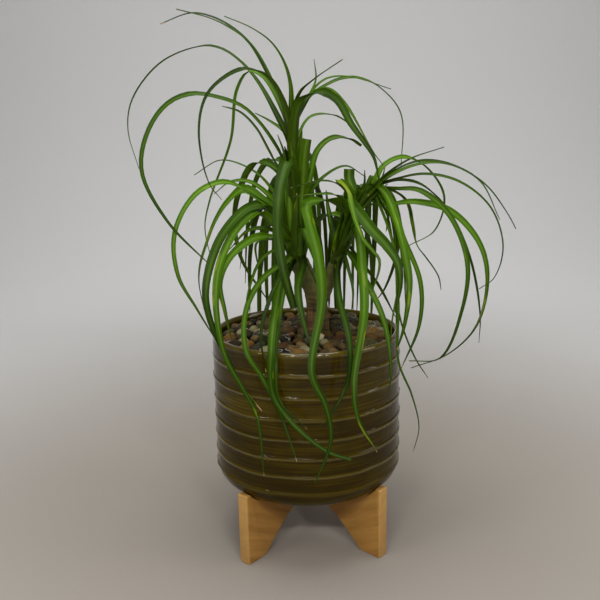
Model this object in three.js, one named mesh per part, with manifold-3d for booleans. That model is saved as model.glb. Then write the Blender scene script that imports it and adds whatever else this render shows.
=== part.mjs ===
// A ponytail palm in a ribbed glazed pot, on a stand of two crossed wooden boards.
// Millimetres, +Z up. The origin is on the pot's axis, at the level of the surface under the stand's feet.
// The viewer looks along +Y, so -Y is the front. Nearness is the distance in front of the pot's axis.
import * as THREE from "three";
import { mergeVertices } from "three/addons/utils/BufferGeometryUtils.js";
import Module from "manifold-3d";

// ---- driving dimensions --------------------------------------------------------------------------------

const GAP = 0.3; // left between two pieces that touch

const POT = {
  ridgeRadius: 101.5, // half of a 203 mm (8 in) planter
  bodyRadius: 100.4, // between the thrown ridges
  base: 67.6, // height of the underside
  corner: 22, // radius of the rounded bottom edge
  cornerArc: 1.22, // how much of that round there is under the lowest ridge, in radians
  rim: 233, // top of the lip
  lipHeight: 6,
  lipEdge: 2.5, // the bevel round the outside of the lip
  lipSlope: 3, // how much lower the lip is on the inside
  wall: 6.5,
  floor: 9,
  sides: 36,
};
const RIDGE_HEIGHTS = [88, 106, 125, 144, 165, 189, 211];
const RIDGE_HALF_HEIGHT = 3.2;

const BOARD = {
  thickness: 13.4,
  halfLength: 103,
  tipTop: 77, // the ends rise round the pot's rounded bottom edge
  cradleGap: 0.7, // left between that edge and the ends
  lapLevel: 55, // the two boards are halved into each other here
  turn: 0.731, // from the front, in radians
};
// Half of the arch between the feet, each point as [distance from the middle, height].
const ARCH = {
  top: [18, 43],
  bend: [40, 38],
  spring: [74, 4],
  corner: [77, 0.4],
  foot: [84, 0],
};
const SEAT = POT.base - GAP;

const SOIL_TOP = 212;
const PEBBLES = {
  count: 72,
  edgeHeight: 220.8, // of the bed that the stones stand in, at the wall
  middleHeight: 226.5, // the same in the middle, where it is heaped
  least: 7.8, // half lengths of a stone
  most: 10.4,
  leastWidth: 0.72, // width as a share of the length
  mostWidth: 0.92,
  flatness: 0.62, // height as a share of the length
  tilt: 0.5, // radians between the most tilted ones
  leastRise: 1.5, // of a stone's middle over the bed
  mostRise: 4.5,
  fromWall: 12,
  seed: 11,
};
const TRUNK_HOLE_RADIUS = 17;

const BLADE = {
  keel: 1.3, // thickness in the middle of a blade
  keelShare: 0.55, // the least share of it, at the tip
  segment: 30, // length of a facet
  fewest: 5,
  most: 12,
  tipShare: 0.16, // width at the tip, as a share of the width
  taper: [2.4, 0.8], // the higher the first, the later a blade narrows; the lower the second, the faster
  rootShare: 0.75, // width at the root, as a share of the width
  hidden: 2.5, // the most that the width seen falls short of the true width
  broadest: 12,
};
const LEAF_CLEARANCE = 7; // between a hanging leaf's middle and the pot

// The eye that sees the leaves' routes: they are given by where each leaf passes in its 600 x 600 view.
const EYE = { x: -5.6, y: -732, z: 424, pitch: 0.216, roll: -0.02, focal: 700, centre: 300 };

// ---- woody and green stems: [x, z, radius] on the plane of the pot's axis ------------------------------

const TRUNK = [
  [12, 150, 9],
  [12.5, 196, 14],
  [13, 224, 14.5],
  [13, 250, 12],
  [9, 276, 11],
  [0, 292, 10.5],
  [-6, 306, 10.5],
];
const SIDE_BRANCH = [
  [12, 252, 8],
  [22, 276, 8],
  [33, 302, 7.5],
];
const TALL_STALK = [
  [-6.2, 306.4, 10.5],
  [-9.2, 313.4, 11],
  [-9, 334, 12],
  [-8.5, 366, 12],
  [-9.5, 406, 10],
  [-11, 432, 7.5],
  [-11.5, 456, 4],
];
const SIDE_STALK = [
  [33.2, 302.4, 7.5],
  [41.7, 322.5, 8],
  [52, 352, 8],
  [64, 371, 7],
  [77, 388, 4.5],
];

// ---- leaves: [width seen, nearness of the tip, route in the view] --------------------------------------
// A route starts on the middle of its stalk. Its nearness grows from 0 there to the tip's.

const TALL_LEAVES = {
  highest_left: [
    3.4, -20, [291, 125], [284, 103], [268, 75], [250, 44], [230, 26], [210, 16], [190, 13], [160, 24],
  ],
  highest_left_thin: [2.4, 30, [291, 122], [272, 80], [252, 45], [232, 29], [210, 18], [176, 9]],
  high_left_thread: [2.4, 55, [292, 118], [290, 83], [283, 60], [270, 41], [250, 27], [224, 16]],
  furthest_left: [
    5.4, -98, [291, 140], [278, 118], [258, 82], [240, 61], [220, 48], [200, 46], [160, 63], [132, 100],
    [128, 130], [139, 169],
  ],
  high_left_broad: [
    7.6, 85, [292, 128], [280, 95], [268, 77], [256, 70], [238, 70], [208, 93], [199, 130], [209, 183],
    [222, 200],
  ],
  high_left_pale: [
    4.6, -60, [292, 126], [276, 96], [262, 76], [249, 71], [237, 90], [231, 140], [210, 200], [205, 228],
    [213, 266],
  ],
  great_left_arch: [
    9, 62, [295, 182], [284, 162], [272, 140], [258, 121], [243, 107], [220, 98], [190, 94], [166, 105],
    [147, 134], [142, 172], [168, 222], [213, 268],
  ],
  great_left_shadow: [6, 30, [295, 190], [279, 170], [268, 149], [256, 128], [240, 112], [222, 106]],
  short_left: [3.4, -35, [293, 142], [285, 133], [268, 120], [255, 113]],
  great_right_arch: [
    8.4, 60, [294, 134], [297, 110], [304, 98], [322, 92], [338, 98], [357, 125], [373, 156], [379, 181],
  ],
  right_arch_pair: [
    4.6, 28, [293, 130], [299, 107], [312, 94], [328, 90], [344, 103], [374, 153], [384, 166],
  ],
  far_right_arch: [
    3.4, -62, [293, 124], [307, 100], [317, 91], [340, 79], [360, 78], [381, 88], [401, 114], [401, 170],
  ],
  far_right_thread: [2.4, -35, [293, 122], [313, 90], [328, 78], [352, 77], [391, 89]],
  upright_pale: [2.8, 30, [292, 120], [300, 93], [314, 79], [343, 59]],
  upright_thread: [2.4, -25, [293, 124], [310, 95], [316, 79], [314, 59]],
  inner_right_arch: [3.4, -72, [295, 165], [301, 130], [312, 116], [334, 115], [352, 126], [362, 146]],
  bright_right_arch: [7, -50, [297, 216], [309, 182], [318, 150], [332, 138], [352, 140], [370, 160]],
  standing_front: [9, 22, [297, 222], [304, 180], [306, 150], [309, 134]],
  falling_front: [
    12, 118, [297, 200], [293, 172], [288, 161], [282, 178], [278, 210], [278, 235], [284, 272], [294, 308],
  ],
  low_right_arch: [5.4, -28, [297, 228], [310, 195], [325, 176], [346, 166], [366, 177]],
  left_thread: [3, -52, [296, 216], [276, 196], [255, 172], [221, 160], [194, 175]],
  outer_left_fall: [
    7, 70, [297, 230], [275, 212], [247, 191], [223, 182], [196, 194], [175, 232], [178, 275], [197, 309],
    [219, 345],
  ],
  left_fall_shadow: [5.4, -30, [297, 224], [275, 203], [250, 182], [230, 182], [214, 194]],
  left_fall_behind: [
    5.4, -75, [297, 220], [262, 200], [244, 188], [221, 210], [203, 251], [199, 282], [204, 309],
  ],
  left_rim_wrap: [
    10, 97, [298, 236], [265, 206], [248, 208], [221, 238], [206, 288], [210, 319], [227, 357], [242, 387],
    [262, 411],
  ],
  left_rim_long: [
    8.4, 118, [298, 240], [259, 212], [239, 226], [221, 261], [216, 300], [225, 355], [242, 387], [257, 416],
    [264, 476],
  ],
  left_over_rim: [
    8.4, 86, [298, 244], [275, 237], [255, 238], [231, 256], [220, 282], [225, 311], [232, 341],
  ],
  dark_left_loop: [
    7.4, -66, [296, 200], [283, 178], [271, 165], [260, 162], [250, 168], [242, 184], [235, 213], [241, 257],
    [271, 305],
  ],
  dark_left_thread: [3.8, -45, [297, 234], [262, 208], [251, 223], [244, 240], [240, 269]],
  pale_left_short: [4.6, -22, [298, 246], [275, 232], [250, 230], [229, 250]],
  front_left_long: [
    6.6, 112, [298, 254], [285, 262], [262, 280], [247, 308], [246, 350], [262, 377], [279, 411], [290, 441],
    [297, 462],
  ],
  front_left_inner: [5.4, 108, [298, 256], [282, 275], [268, 305], [261, 336], [266, 372]],
  front_sweep: [
    9, 126, [298, 250], [287, 262], [278, 295], [271, 350], [273, 394], [291, 422], [326, 451], [351, 460],
  ],
  front_sweep_pair: [5.4, 116, [298, 253], [288, 275], [279, 320], [276, 365], [280, 401], [307, 429]],
  small_left: [4.2, -34, [298, 250], [276, 240], [257, 243], [260, 275]],
  small_left_front: [4.2, 55, [298, 252], [276, 250], [260, 262], [248, 295], [245, 320]],
  centre_front: [5.8, 106, [299, 254], [303, 262], [298, 290], [305, 328], [312, 350]],
  centre_thread: [2.4, 96, [300, 252], [314, 278], [325, 312], [331, 349]],
  bright_front: [9.4, 84, [298, 236], [303, 228], [309, 240], [318, 266], [322, 296], [321, 325]],
};

const SIDE_LEAVES = {
  long_front: [
    11, 152, [354, 212], [338, 203], [320, 200], [307, 204], [309, 220], [318, 255], [322, 300], [312, 374],
    [326, 406], [331, 440], [315, 484],
  ],
  left_thread_high: [2.8, 74, [358, 205], [338, 184], [318, 181], [291, 188]],
  left_thread_low: [3.2, 64, [354, 212], [338, 196], [318, 194], [293, 197]],
  dark_front: [7.4, 118, [339, 256], [337, 270], [339, 298], [350, 345], [347, 384], [323, 429]],
  small_dark: [4.2, 62, [342, 248], [348, 268], [353, 292], [351, 316]],
  broad_front: [
    9.8, 138, [350, 222], [358, 234], [362, 268], [364, 312], [354, 385], [358, 418], [377, 452],
  ],
  right_front: [7.4, 112, [341, 250], [349, 254], [362, 275], [384, 322], [391, 374], [388, 394]],
  thread_crossing: [3.2, -42, [344, 240], [364, 266], [380, 288], [396, 318]],
  thread_back: [3.2, -62, [374, 186], [392, 212], [398, 245], [385, 288], [374, 303]],
  thread_front: [3.2, 88, [374, 187], [394, 222], [402, 262], [392, 322], [389, 381]],
  broad_fold: [
    11, 96, [362, 199], [349, 186], [339, 179], [341, 188], [353, 206], [378, 232], [399, 262], [402, 285],
    [396, 315],
  ],
  striped_fold: [6.2, 66, [358, 204], [348, 192], [341, 191], [350, 210], [364, 239], [377, 262], [371, 295]],
  standing_back: [10, -22, [356, 208], [352, 190], [349, 176], [350, 167]],
  pale_right: [9, 80, [372, 188], [387, 192], [401, 230], [408, 280], [404, 320], [397, 352]],
  right_loop: [5.8, -52, [375, 185], [383, 167], [403, 157], [425, 166], [444, 197], [434, 231], [408, 246]],
  right_thread: [2.4, -34, [376, 184], [390, 172], [412, 158], [444, 147]],
  furthest_right: [
    3, 100, [376, 185], [390, 173], [420, 161], [450, 164], [485, 184], [508, 214], [516, 229],
  ],
  far_right_behind: [3, 14, [376, 185], [392, 175], [420, 164], [448, 164], [480, 181], [500, 220]],
  far_right_sweep: [
    3.8, 36, [376, 184], [395, 179], [425, 174], [460, 182], [491, 208], [503, 247], [494, 278], [479, 289],
  ],
  right_fall: [
    7.4, 55, [374, 187], [396, 189], [420, 191], [449, 215], [467, 262], [462, 309], [440, 358], [409, 361],
  ],
  right_fall_behind: [
    4.8, -56, [375, 186], [400, 180], [424, 186], [449, 212], [471, 262], [480, 315], [479, 343],
  ],
  low_right_fall: [
    7, 20, [364, 196], [382, 205], [415, 202], [450, 211], [479, 243], [487, 278], [476, 326], [448, 354],
    [411, 368],
  ],
  yellow_right: [5.8, -28, [374, 187], [391, 190], [404, 200], [414, 232], [427, 260], [441, 290]],
  right_rim_fall: [6.4, 42, [373, 188], [390, 204], [403, 238], [420, 282], [419, 325], [401, 369]],
  right_rim_tip: [4.4, -12, [372, 189], [387, 215], [395, 262], [399, 315], [414, 356], [428, 378]],
  right_below_rim: [
    3.6, 62, [373, 189], [393, 245], [398, 305], [398, 360], [412, 396], [419, 428], [413, 452],
  ],
  dark_back_fall: [6.2, -40, [370, 190], [384, 200], [388, 216], [386, 232]],
  dark_back_rise: [9, -48, [340, 252], [335, 240], [328, 208], [326, 190]],
};

// Leaves that the view doesn't show: they arch to the back and hang behind the stems.
// Their headings are shares of a half turn, from the right, over the back, to the left.
const BACK_LEAVES = {
  tall: { count: 14, lowest: 328, highest: 408, from: 0.34, to: 0.72, seed: 36 },
  side: { count: 11, lowest: 330, highest: 380, from: 0.28, to: 0.66, seed: 105 },
};
// The least of each of their measures, and how much more it can be.
const BACK_FORM = {
  width: [5, 4.5],
  reach: [98, 62],
  rise: [16, 26],
  drop: [60, 0.45, 0.75], // the last two are shares of the root's height over the headroom
  headroom: 250,
  bend: [-0.175, 0.35], // radians
  stations: [0, 0.12, 0.3, 0.52, 0.76, 1],
  outward: 1.8, // the higher, the sooner a leaf is at its full reach
};

// ---- materials -----------------------------------------------------------------------------------------

const surface = (color, roughness) => new THREE.MeshStandardMaterial({ color, roughness, metalness: 0 });
const GLAZE = surface("#4a3b12", 0.15);
const WOOD = surface("#b98a4a", 0.6);
const SOIL = surface("#3a2a1c", 0.95);
const STONE = surface("#a08c70", 0.55);
const BARK = surface("#7a5a44", 0.8);
const LEAF = surface("#3f7a1c", 0.4);

// ---- helpers -------------------------------------------------------------------------------------------

const wasm = await Module();
wasm.setup();

function toSolid(geometry) {
  const bare = new THREE.BufferGeometry().setAttribute("position", geometry.getAttribute("position"));
  if (geometry.index) bare.setIndex(geometry.index);
  const merged = mergeVertices(bare, 1e-4);
  return new wasm.Manifold(
    new wasm.Mesh({
      numProp: 3,
      vertProperties: new Float32Array(merged.attributes.position.array),
      triVerts: new Uint32Array(merged.index.array),
    }),
  );
}

function toGeometry(solid) {
  const mesh = solid.getMesh();
  const geometry = new THREE.BufferGeometry();
  geometry.setAttribute("position", new THREE.BufferAttribute(mesh.vertProperties, 3));
  geometry.setIndex(new THREE.BufferAttribute(mesh.triVerts, 1));
  geometry.computeVertexNormals();
  return geometry;
}

// Joins solids, fills what hollows the joining seals and drops loose scraps.
function fuse(solids) {
  const joined = solids.reduce((whole, next) => whole.add(next));
  return joined.decompose().reduce((best, body) => (body.volume() > best.volume() ? body : best));
}

// A closed skin over a row of rings with equally many corners, each given as [x, y, z].
function loft(rings) {
  const corners = rings[0].length;
  const last = (rings.length - 1) * corners;
  const faces = [];
  for (let i = 0; i + 1 < rings.length; i++) {
    for (let j = 0; j < corners; j++) {
      const a = i * corners + j;
      const b = i * corners + ((j + 1) % corners);
      faces.push(a, b, b + corners, a, b + corners, a + corners);
    }
  }
  for (let j = 1; j + 1 < corners; j++) {
    faces.push(0, j + 1, j);
    faces.push(last, last + j, last + j + 1);
  }
  const geometry = new THREE.BufferGeometry();
  geometry.setAttribute("position", new THREE.Float32BufferAttribute(rings.flat(2), 3));
  geometry.setIndex(faces);
  return geometry;
}

// Repeats the same run of numbers from 0 to 1 for the same seed.
function seeded(seed) {
  let state = seed;
  return () => {
    state = (state * 16807) % 2147483647;
    return state / 2147483647;
  };
}

// ---- pot -----------------------------------------------------------------------------------------------

function potProfile() {
  const { ridgeRadius, bodyRadius, base, corner, cornerArc } = POT;
  const { rim, lipHeight, lipEdge, lipSlope, wall, floor } = POT;
  const points = [[0, base]];
  for (let step = 0; step <= 4; step++) {
    const angle = (step / 4) * cornerArc;
    const out = bodyRadius - corner + corner * Math.sin(angle);
    points.push([out, base + corner - corner * Math.cos(angle)]);
  }
  for (const height of RIDGE_HEIGHTS) {
    points.push([bodyRadius, height - RIDGE_HALF_HEIGHT]);
    points.push([ridgeRadius, height]);
    points.push([bodyRadius, height + RIDGE_HALF_HEIGHT]);
  }
  points.push([bodyRadius, rim - lipHeight]);
  points.push([ridgeRadius, rim - lipEdge]);
  points.push([ridgeRadius - lipEdge, rim]);
  points.push([bodyRadius - wall, rim - lipSlope]);
  points.push([bodyRadius - wall, base + floor]);
  points.push([0, base + floor]);
  return points.map(([x, y]) => new THREE.Vector2(x, y));
}

function makePot() {
  const geometry = new THREE.LatheGeometry(potProfile(), POT.sides);
  geometry.rotateX(Math.PI / 2);
  return geometry;
}

// ---- stand ---------------------------------------------------------------------------------------------

// A board's side view: a level seat, ends that follow the pot's rounded edge, flat feet, an arch between them.
function boardOutline(lappedFromAbove) {
  const { thickness, halfLength, tipTop, cradleGap, lapLevel } = BOARD;
  const { top, bend, spring, corner, foot } = ARCH;
  const slot = thickness / 2 + GAP;
  const seatEnd = POT.bodyRadius - POT.corner;
  const cradle = POT.corner + cradleGap;
  const cradleAngle = Math.acos((POT.base + POT.corner - tipTop) / cradle);
  const shape = new THREE.Shape();
  shape.moveTo(-top[0], top[1]);
  if (!lappedFromAbove) {
    shape.lineTo(-slot, top[1]);
    shape.lineTo(-slot, lapLevel + GAP / 2);
    shape.lineTo(slot, lapLevel + GAP / 2);
    shape.lineTo(slot, top[1]);
  }
  shape.lineTo(...top);
  shape.quadraticCurveTo(...bend, ...spring);
  shape.quadraticCurveTo(...corner, ...foot);
  shape.lineTo(halfLength, 0);
  shape.lineTo(halfLength, tipTop);
  for (let step = 0; step <= 4; step++) {
    const angle = cradleAngle * (1 - step / 4);
    const across = seatEnd + cradle * Math.sin(angle);
    shape.lineTo(across, Math.min(tipTop, POT.base + POT.corner - cradle * Math.cos(angle)));
  }
  if (lappedFromAbove) {
    shape.lineTo(slot, SEAT);
    shape.lineTo(slot, lapLevel - GAP / 2);
    shape.lineTo(-slot, lapLevel - GAP / 2);
    shape.lineTo(-slot, SEAT);
  }
  for (let step = 0; step <= 4; step++) {
    const angle = cradleAngle * (step / 4);
    const across = seatEnd + cradle * Math.sin(angle);
    shape.lineTo(-across, Math.min(tipTop, POT.base + POT.corner - cradle * Math.cos(angle)));
  }
  shape.lineTo(-halfLength, tipTop);
  shape.lineTo(-halfLength, 0);
  shape.lineTo(-foot[0], foot[1]);
  shape.quadraticCurveTo(-corner[0], corner[1], -spring[0], spring[1]);
  shape.quadraticCurveTo(-bend[0], bend[1], -top[0], top[1]);
  return shape;
}

function makeBoard(lappedFromAbove) {
  const depth = BOARD.thickness;
  const geometry = new THREE.ExtrudeGeometry(boardOutline(lappedFromAbove), {
    depth,
    bevelEnabled: false,
    curveSegments: 6,
  });
  geometry.rotateX(Math.PI / 2);
  geometry.translate(0, depth / 2, 0);
  return geometry;
}

// ---- soil and pebbles ----------------------------------------------------------------------------------

const INNER_RADIUS = POT.bodyRadius - POT.wall;

function disc(radius, low, high, sides) {
  const geometry = new THREE.CylinderGeometry(radius, radius, high - low, sides);
  geometry.rotateX(Math.PI / 2);
  geometry.translate(0, 0, (low + high) / 2);
  return geometry;
}

function trunkHole() {
  const hole = disc(TRUNK_HOLE_RADIUS, TRUNK[0][1] - GAP, POT.rim + 20, 14);
  hole.translate(TRUNK[1][0], 0, 0);
  return toSolid(hole);
}

function makeSoil() {
  const ball = disc(INNER_RADIUS - 1, POT.base + POT.floor + GAP, SOIL_TOP, POT.sides);
  return toGeometry(toSolid(ball).subtract(trunkHole()));
}

// A domed bed with rounded stones all over it, on a sunflower spiral, each turned and sized by the seed.
function makePebbles() {
  const { count, edgeHeight, middleHeight, least, most, leastWidth, mostWidth, flatness, tilt } = PEBBLES;
  const { leastRise, mostRise, fromWall, seed } = PEBBLES;
  const draw = seeded(seed);
  const bedRadius = INNER_RADIUS - 1;
  const bedHeight = (away) => middleHeight - (middleHeight - edgeHeight) * (away / bedRadius) ** 2;
  const low = SOIL_TOP + GAP;
  const profile = [new THREE.Vector2(0, low)];
  for (const away of [bedRadius, bedRadius * 0.7, bedRadius * 0.35, 0]) {
    if (away === bedRadius) profile.push(new THREE.Vector2(away, low));
    profile.push(new THREE.Vector2(away, bedHeight(away)));
  }
  const bed = new THREE.LatheGeometry(profile, POT.sides);
  bed.rotateX(Math.PI / 2);
  const pieces = [bed];
  const golden = Math.PI * (3 - Math.sqrt(5));
  for (let k = 0; k < count; k++) {
    const away = (INNER_RADIUS - fromWall) * Math.sqrt((k + 0.5) / count);
    const half = least + (most - least) * draw();
    const stone = new THREE.IcosahedronGeometry(1, 0);
    stone.rotateZ(draw() * Math.PI);
    stone.scale(half, half * (leastWidth + (mostWidth - leastWidth) * draw()), half * flatness);
    stone.rotateX((draw() - 0.5) * tilt);
    stone.rotateZ(draw() * Math.PI * 2);
    const height = bedHeight(away) + leastRise + (mostRise - leastRise) * draw();
    stone.translate(away * Math.cos(k * golden), away * Math.sin(k * golden), height);
    pieces.push(stone);
  }
  const hole = trunkHole();
  return toGeometry(fuse(pieces.map((piece) => toSolid(piece).subtract(hole))));
}

// ---- stems ---------------------------------------------------------------------------------------------

// A round stem through [x, z, radius] stations, cut square at its ends.
function makeStem(stations, corners) {
  const middle = stations.map(([x, z]) => new THREE.Vector3(x, 0, z));
  const rings = middle.map((centre, i) => {
    const before = middle[Math.max(i - 1, 0)];
    const after = middle[Math.min(i + 1, middle.length - 1)];
    const along = after.clone().sub(before).normalize();
    const across = new THREE.Vector3(along.z, 0, -along.x);
    const ring = [];
    for (let j = 0; j < corners; j++) {
      const angle = (j / corners) * Math.PI * 2;
      const out = across.clone().multiplyScalar(Math.cos(angle) * stations[i][2]);
      ring.push([centre.x + out.x, Math.sin(angle) * stations[i][2], centre.z + out.z]);
    }
    return ring;
  });
  return loft(rings);
}

function makeTrunk() {
  return toGeometry(fuse([toSolid(makeStem(TRUNK, 12)), toSolid(makeStem(SIDE_BRANCH, 10))]));
}

// ---- leaves --------------------------------------------------------------------------------------------

const RIGHT = new THREE.Vector3(1, 0, 0);
const UP = new THREE.Vector3(0, 0, 1);

// The point that is seen at (x, y) of the view and lies this near to the viewer.
function seenAt(x, y, near) {
  const ahead = new THREE.Vector3(0, Math.cos(EYE.pitch), -Math.sin(EYE.pitch));
  const above = new THREE.Vector3(0, Math.sin(EYE.pitch), Math.cos(EYE.pitch));
  const right = RIGHT.clone().multiplyScalar(Math.cos(EYE.roll)).addScaledVector(above, Math.sin(EYE.roll));
  const up = RIGHT.clone().multiplyScalar(-Math.sin(EYE.roll)).addScaledVector(above, Math.cos(EYE.roll));
  const ray = ahead.clone();
  ray.addScaledVector(right, (x - EYE.centre) / EYE.focal);
  ray.addScaledVector(up, (EYE.centre - y) / EYE.focal);
  const reach = (-near - EYE.y) / ray.y;
  return new THREE.Vector3(EYE.x, EYE.y, EYE.z).addScaledVector(ray, reach);
}

const insidePot = (point) =>
  point.z < POT.rim + 10 && Math.hypot(point.x, point.y) < POT.ridgeRadius + LEAF_CLEARANCE;

// A leaf's middle line: through its route, nearer and nearer, and clear of the pot where it hangs that low.
function seenRoute(tipNear, route) {
  const lengths = [0];
  for (let i = 1; i < route.length; i++) {
    lengths.push(lengths[i - 1] + Math.hypot(route[i][0] - route[i - 1][0], route[i][1] - route[i - 1][1]));
  }
  return route.map(([x, y], i) => {
    const along = lengths[i] / lengths.at(-1);
    let near = tipNear * (1 - (1 - along) ** 2);
    let point = seenAt(x, y, near);
    while (insidePot(point)) {
      near += tipNear < 0 ? -1 : 1;
      point = seenAt(x, y, near);
    }
    return point;
  });
}

// A blade with a flat upper face and a keel below. The more it arches sideways, the more its face leans out.
function makeBlade(points, seen) {
  const curve = new THREE.CatmullRomCurve3(points, false, "centripetal");
  const length = curve.getLength();
  const steps = Math.min(BLADE.most, Math.max(BLADE.fewest, Math.round(length / BLADE.segment)));
  const root = points[0];
  const out = points
    .map((point) => new THREE.Vector3(point.x - root.x, point.y - root.y, 0))
    .reduce((far, next) => (next.length() > far.length() ? next : far))
    .normalize();
  const sideways = Math.abs(out.x);
  const width = seen + BLADE.hidden * (1 - seen / BLADE.broadest) * sideways;
  const lean = Math.asin(seen / width) * sideways * Math.sign(out.x);
  const level = new THREE.Vector3().crossVectors(out, UP);
  const rings = curve.getSpacedPoints(steps).map((centre, i) => {
    const u = i / steps;
    const along = curve.getTangentAt(u);
    const across = level.clone().addScaledVector(along, -level.dot(along)).normalize();
    across.applyAxisAngle(along, lean);
    const top = new THREE.Vector3().crossVectors(across, along);
    const share = BLADE.tipShare + (1 - BLADE.tipShare) * (1 - u ** BLADE.taper[0]) ** BLADE.taper[1];
    const half = (width / 2) * share * Math.min(1, BLADE.rootShare + 2 * u);
    const keel = BLADE.keel * Math.max(BLADE.keelShare, share);
    const left = centre.clone().addScaledVector(across, -half).addScaledVector(top, keel / 3);
    const right = centre.clone().addScaledVector(across, half).addScaledVector(top, keel / 3);
    const under = centre.clone().addScaledVector(top, (-2 * keel) / 3);
    return [left.toArray(), right.toArray(), under.toArray()];
  });
  return loft(rings);
}

// The point of a stalk's middle at a height.
function onStalk(stalk, z) {
  const i = Math.max(1, stalk.findIndex((station) => station[1] >= z));
  const share = (z - stalk[i - 1][1]) / (stalk[i][1] - stalk[i - 1][1]);
  return new THREE.Vector3(stalk[i - 1][0] + share * (stalk[i][0] - stalk[i - 1][0]), 0, z);
}

// The middle lines of the leaves at the back: each arches out from the stalk and hangs.
function backRoutes(stalk, { count, lowest, highest, from, to, seed }) {
  const draw = seeded(seed);
  const within = ([least, more]) => least + more * draw();
  const { reach: reaches, rise: rises, drop: drops, bend: bends, headroom, stations, outward } = BACK_FORM;
  const routes = [];
  for (let k = 0; k < count; k++) {
    const root = onStalk(stalk, lowest + ((highest - lowest) * (k + draw())) / count);
    const heading = Math.PI * (from + (to - from) * ((k * 0.618 + 0.2 * draw()) % 1));
    const reach = within(reaches);
    const rise = within(rises);
    const drop = drops[0] + (root.z - headroom) * within([drops[1], drops[2]]);
    const bend = within(bends);
    routes.push(
      stations.map((t) => {
        const away = reach * (1 - (1 - t) ** outward);
        const turned = heading + bend * t;
        const point = new THREE.Vector3(
          root.x + away * Math.cos(turned),
          away * Math.sin(turned),
          root.z + 4 * rise * t * (1 - t) - drop * t * t,
        );
        while (insidePot(point)) point.y += 1;
        return point;
      }),
    );
  }
  return routes;
}

function makeCrown(stalk, leaves, backLeaves) {
  const blades = [];
  for (const [width, near, ...route] of Object.values(leaves)) {
    blades.push(makeBlade(seenRoute(near, route), width));
  }
  const draw = seeded(backLeaves.seed + 1);
  const [leastWidth, moreWidth] = BACK_FORM.width;
  for (const route of backRoutes(stalk, backLeaves)) {
    blades.push(makeBlade(route, leastWidth + moreWidth * draw()));
  }
  return toGeometry(fuse([toSolid(makeStem(stalk, 10)), ...blades.map(toSolid)]));
}

// ---- assembly ------------------------------------------------------------------------------------------

const plant = new THREE.Group();

function addNode(name, geometry, material, parent = plant) {
  const mesh = new THREE.Mesh(geometry, material);
  mesh.name = name;
  parent.add(mesh);
}

const stand = new THREE.Group();
stand.rotation.z = -BOARD.turn;
plant.add(stand);
addNode("stand_board_right", makeBoard(true), WOOD, stand);
const crossing = new THREE.Group();
crossing.rotation.z = Math.PI / 2;
stand.add(crossing);
addNode("stand_board_left", makeBoard(false), WOOD, crossing);

addNode("pot", makePot(), GLAZE);
addNode("soil", makeSoil(), SOIL);
addNode("pebbles", makePebbles(), STONE);
addNode("trunk", makeTrunk(), BARK);
addNode("tall_crown", makeCrown(TALL_STALK, TALL_LEAVES, BACK_LEAVES.tall), LEAF);
addNode("side_crown", makeCrown(SIDE_STALK, SIDE_LEAVES, BACK_LEAVES.side), LEAF);

export default plant;
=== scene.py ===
# %% [markdown]
# # A potted ponytail palm
#
# The plant is a young ponytail palm: two heads of long strap leaves on one forked trunk. It stands in a
# round glazed pot that is topped with river pebbles, on a low stand of two crossed boards. The packed
# model gives the size and the place of every piece. This script dresses it: each step first says what a
# piece is on the real object, then makes it.

# %% Load the packed model
import math

import bmesh
import bpy
import numpy as np
from mathutils import Matrix, Vector


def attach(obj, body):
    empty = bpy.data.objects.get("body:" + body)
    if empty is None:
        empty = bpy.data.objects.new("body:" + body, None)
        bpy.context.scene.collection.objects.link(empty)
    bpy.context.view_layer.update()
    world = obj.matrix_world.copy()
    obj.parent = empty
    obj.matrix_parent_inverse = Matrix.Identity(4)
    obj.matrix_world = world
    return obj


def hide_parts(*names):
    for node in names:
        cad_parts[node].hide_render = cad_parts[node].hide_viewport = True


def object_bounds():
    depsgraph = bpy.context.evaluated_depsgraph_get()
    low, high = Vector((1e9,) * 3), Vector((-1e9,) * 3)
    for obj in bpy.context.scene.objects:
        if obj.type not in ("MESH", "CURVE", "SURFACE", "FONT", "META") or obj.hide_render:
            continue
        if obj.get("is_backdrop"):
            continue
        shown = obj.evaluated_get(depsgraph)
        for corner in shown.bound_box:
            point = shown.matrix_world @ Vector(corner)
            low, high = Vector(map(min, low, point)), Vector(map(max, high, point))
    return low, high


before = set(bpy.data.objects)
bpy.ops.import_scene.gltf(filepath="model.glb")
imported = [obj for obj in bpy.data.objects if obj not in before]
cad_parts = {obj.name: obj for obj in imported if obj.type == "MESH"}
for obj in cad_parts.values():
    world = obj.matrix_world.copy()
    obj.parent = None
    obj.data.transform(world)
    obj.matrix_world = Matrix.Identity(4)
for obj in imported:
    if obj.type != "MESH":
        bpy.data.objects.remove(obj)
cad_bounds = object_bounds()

MM = 0.001
print("pieces in the packed model:", ", ".join(sorted(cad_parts)))

# %% [markdown]
# ## The view
#
# The photograph looks slightly down on the pot from the front. The eye's place, its tilt and its lens
# were worked out from the pot's round rim and the corners of the stand. The leaves' routes are read in
# the same view further down, so its numbers get names here: millimetres for the place, radians for the
# tilt, and pixels of a picture 600 wide for the lens. Colours are shown as they are, with the standard
# view, so that the deep greens and the dark glaze keep their strength.

# %% The camera
EYE = np.array([-5.6, -732.0, 424.0])
PITCH = 0.216
ROLL = -0.02
PICTURE = 600
FOCAL = 700
SENSOR = 36

ahead = np.array([0, math.cos(PITCH), -math.sin(PITCH)])
level_up = np.array([0, math.sin(PITCH), math.cos(PITCH)])
level_right = np.array([1.0, 0, 0])
view_right = level_right * math.cos(ROLL) + level_up * math.sin(ROLL)
view_up = level_up * math.cos(ROLL) - level_right * math.sin(ROLL)

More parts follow.
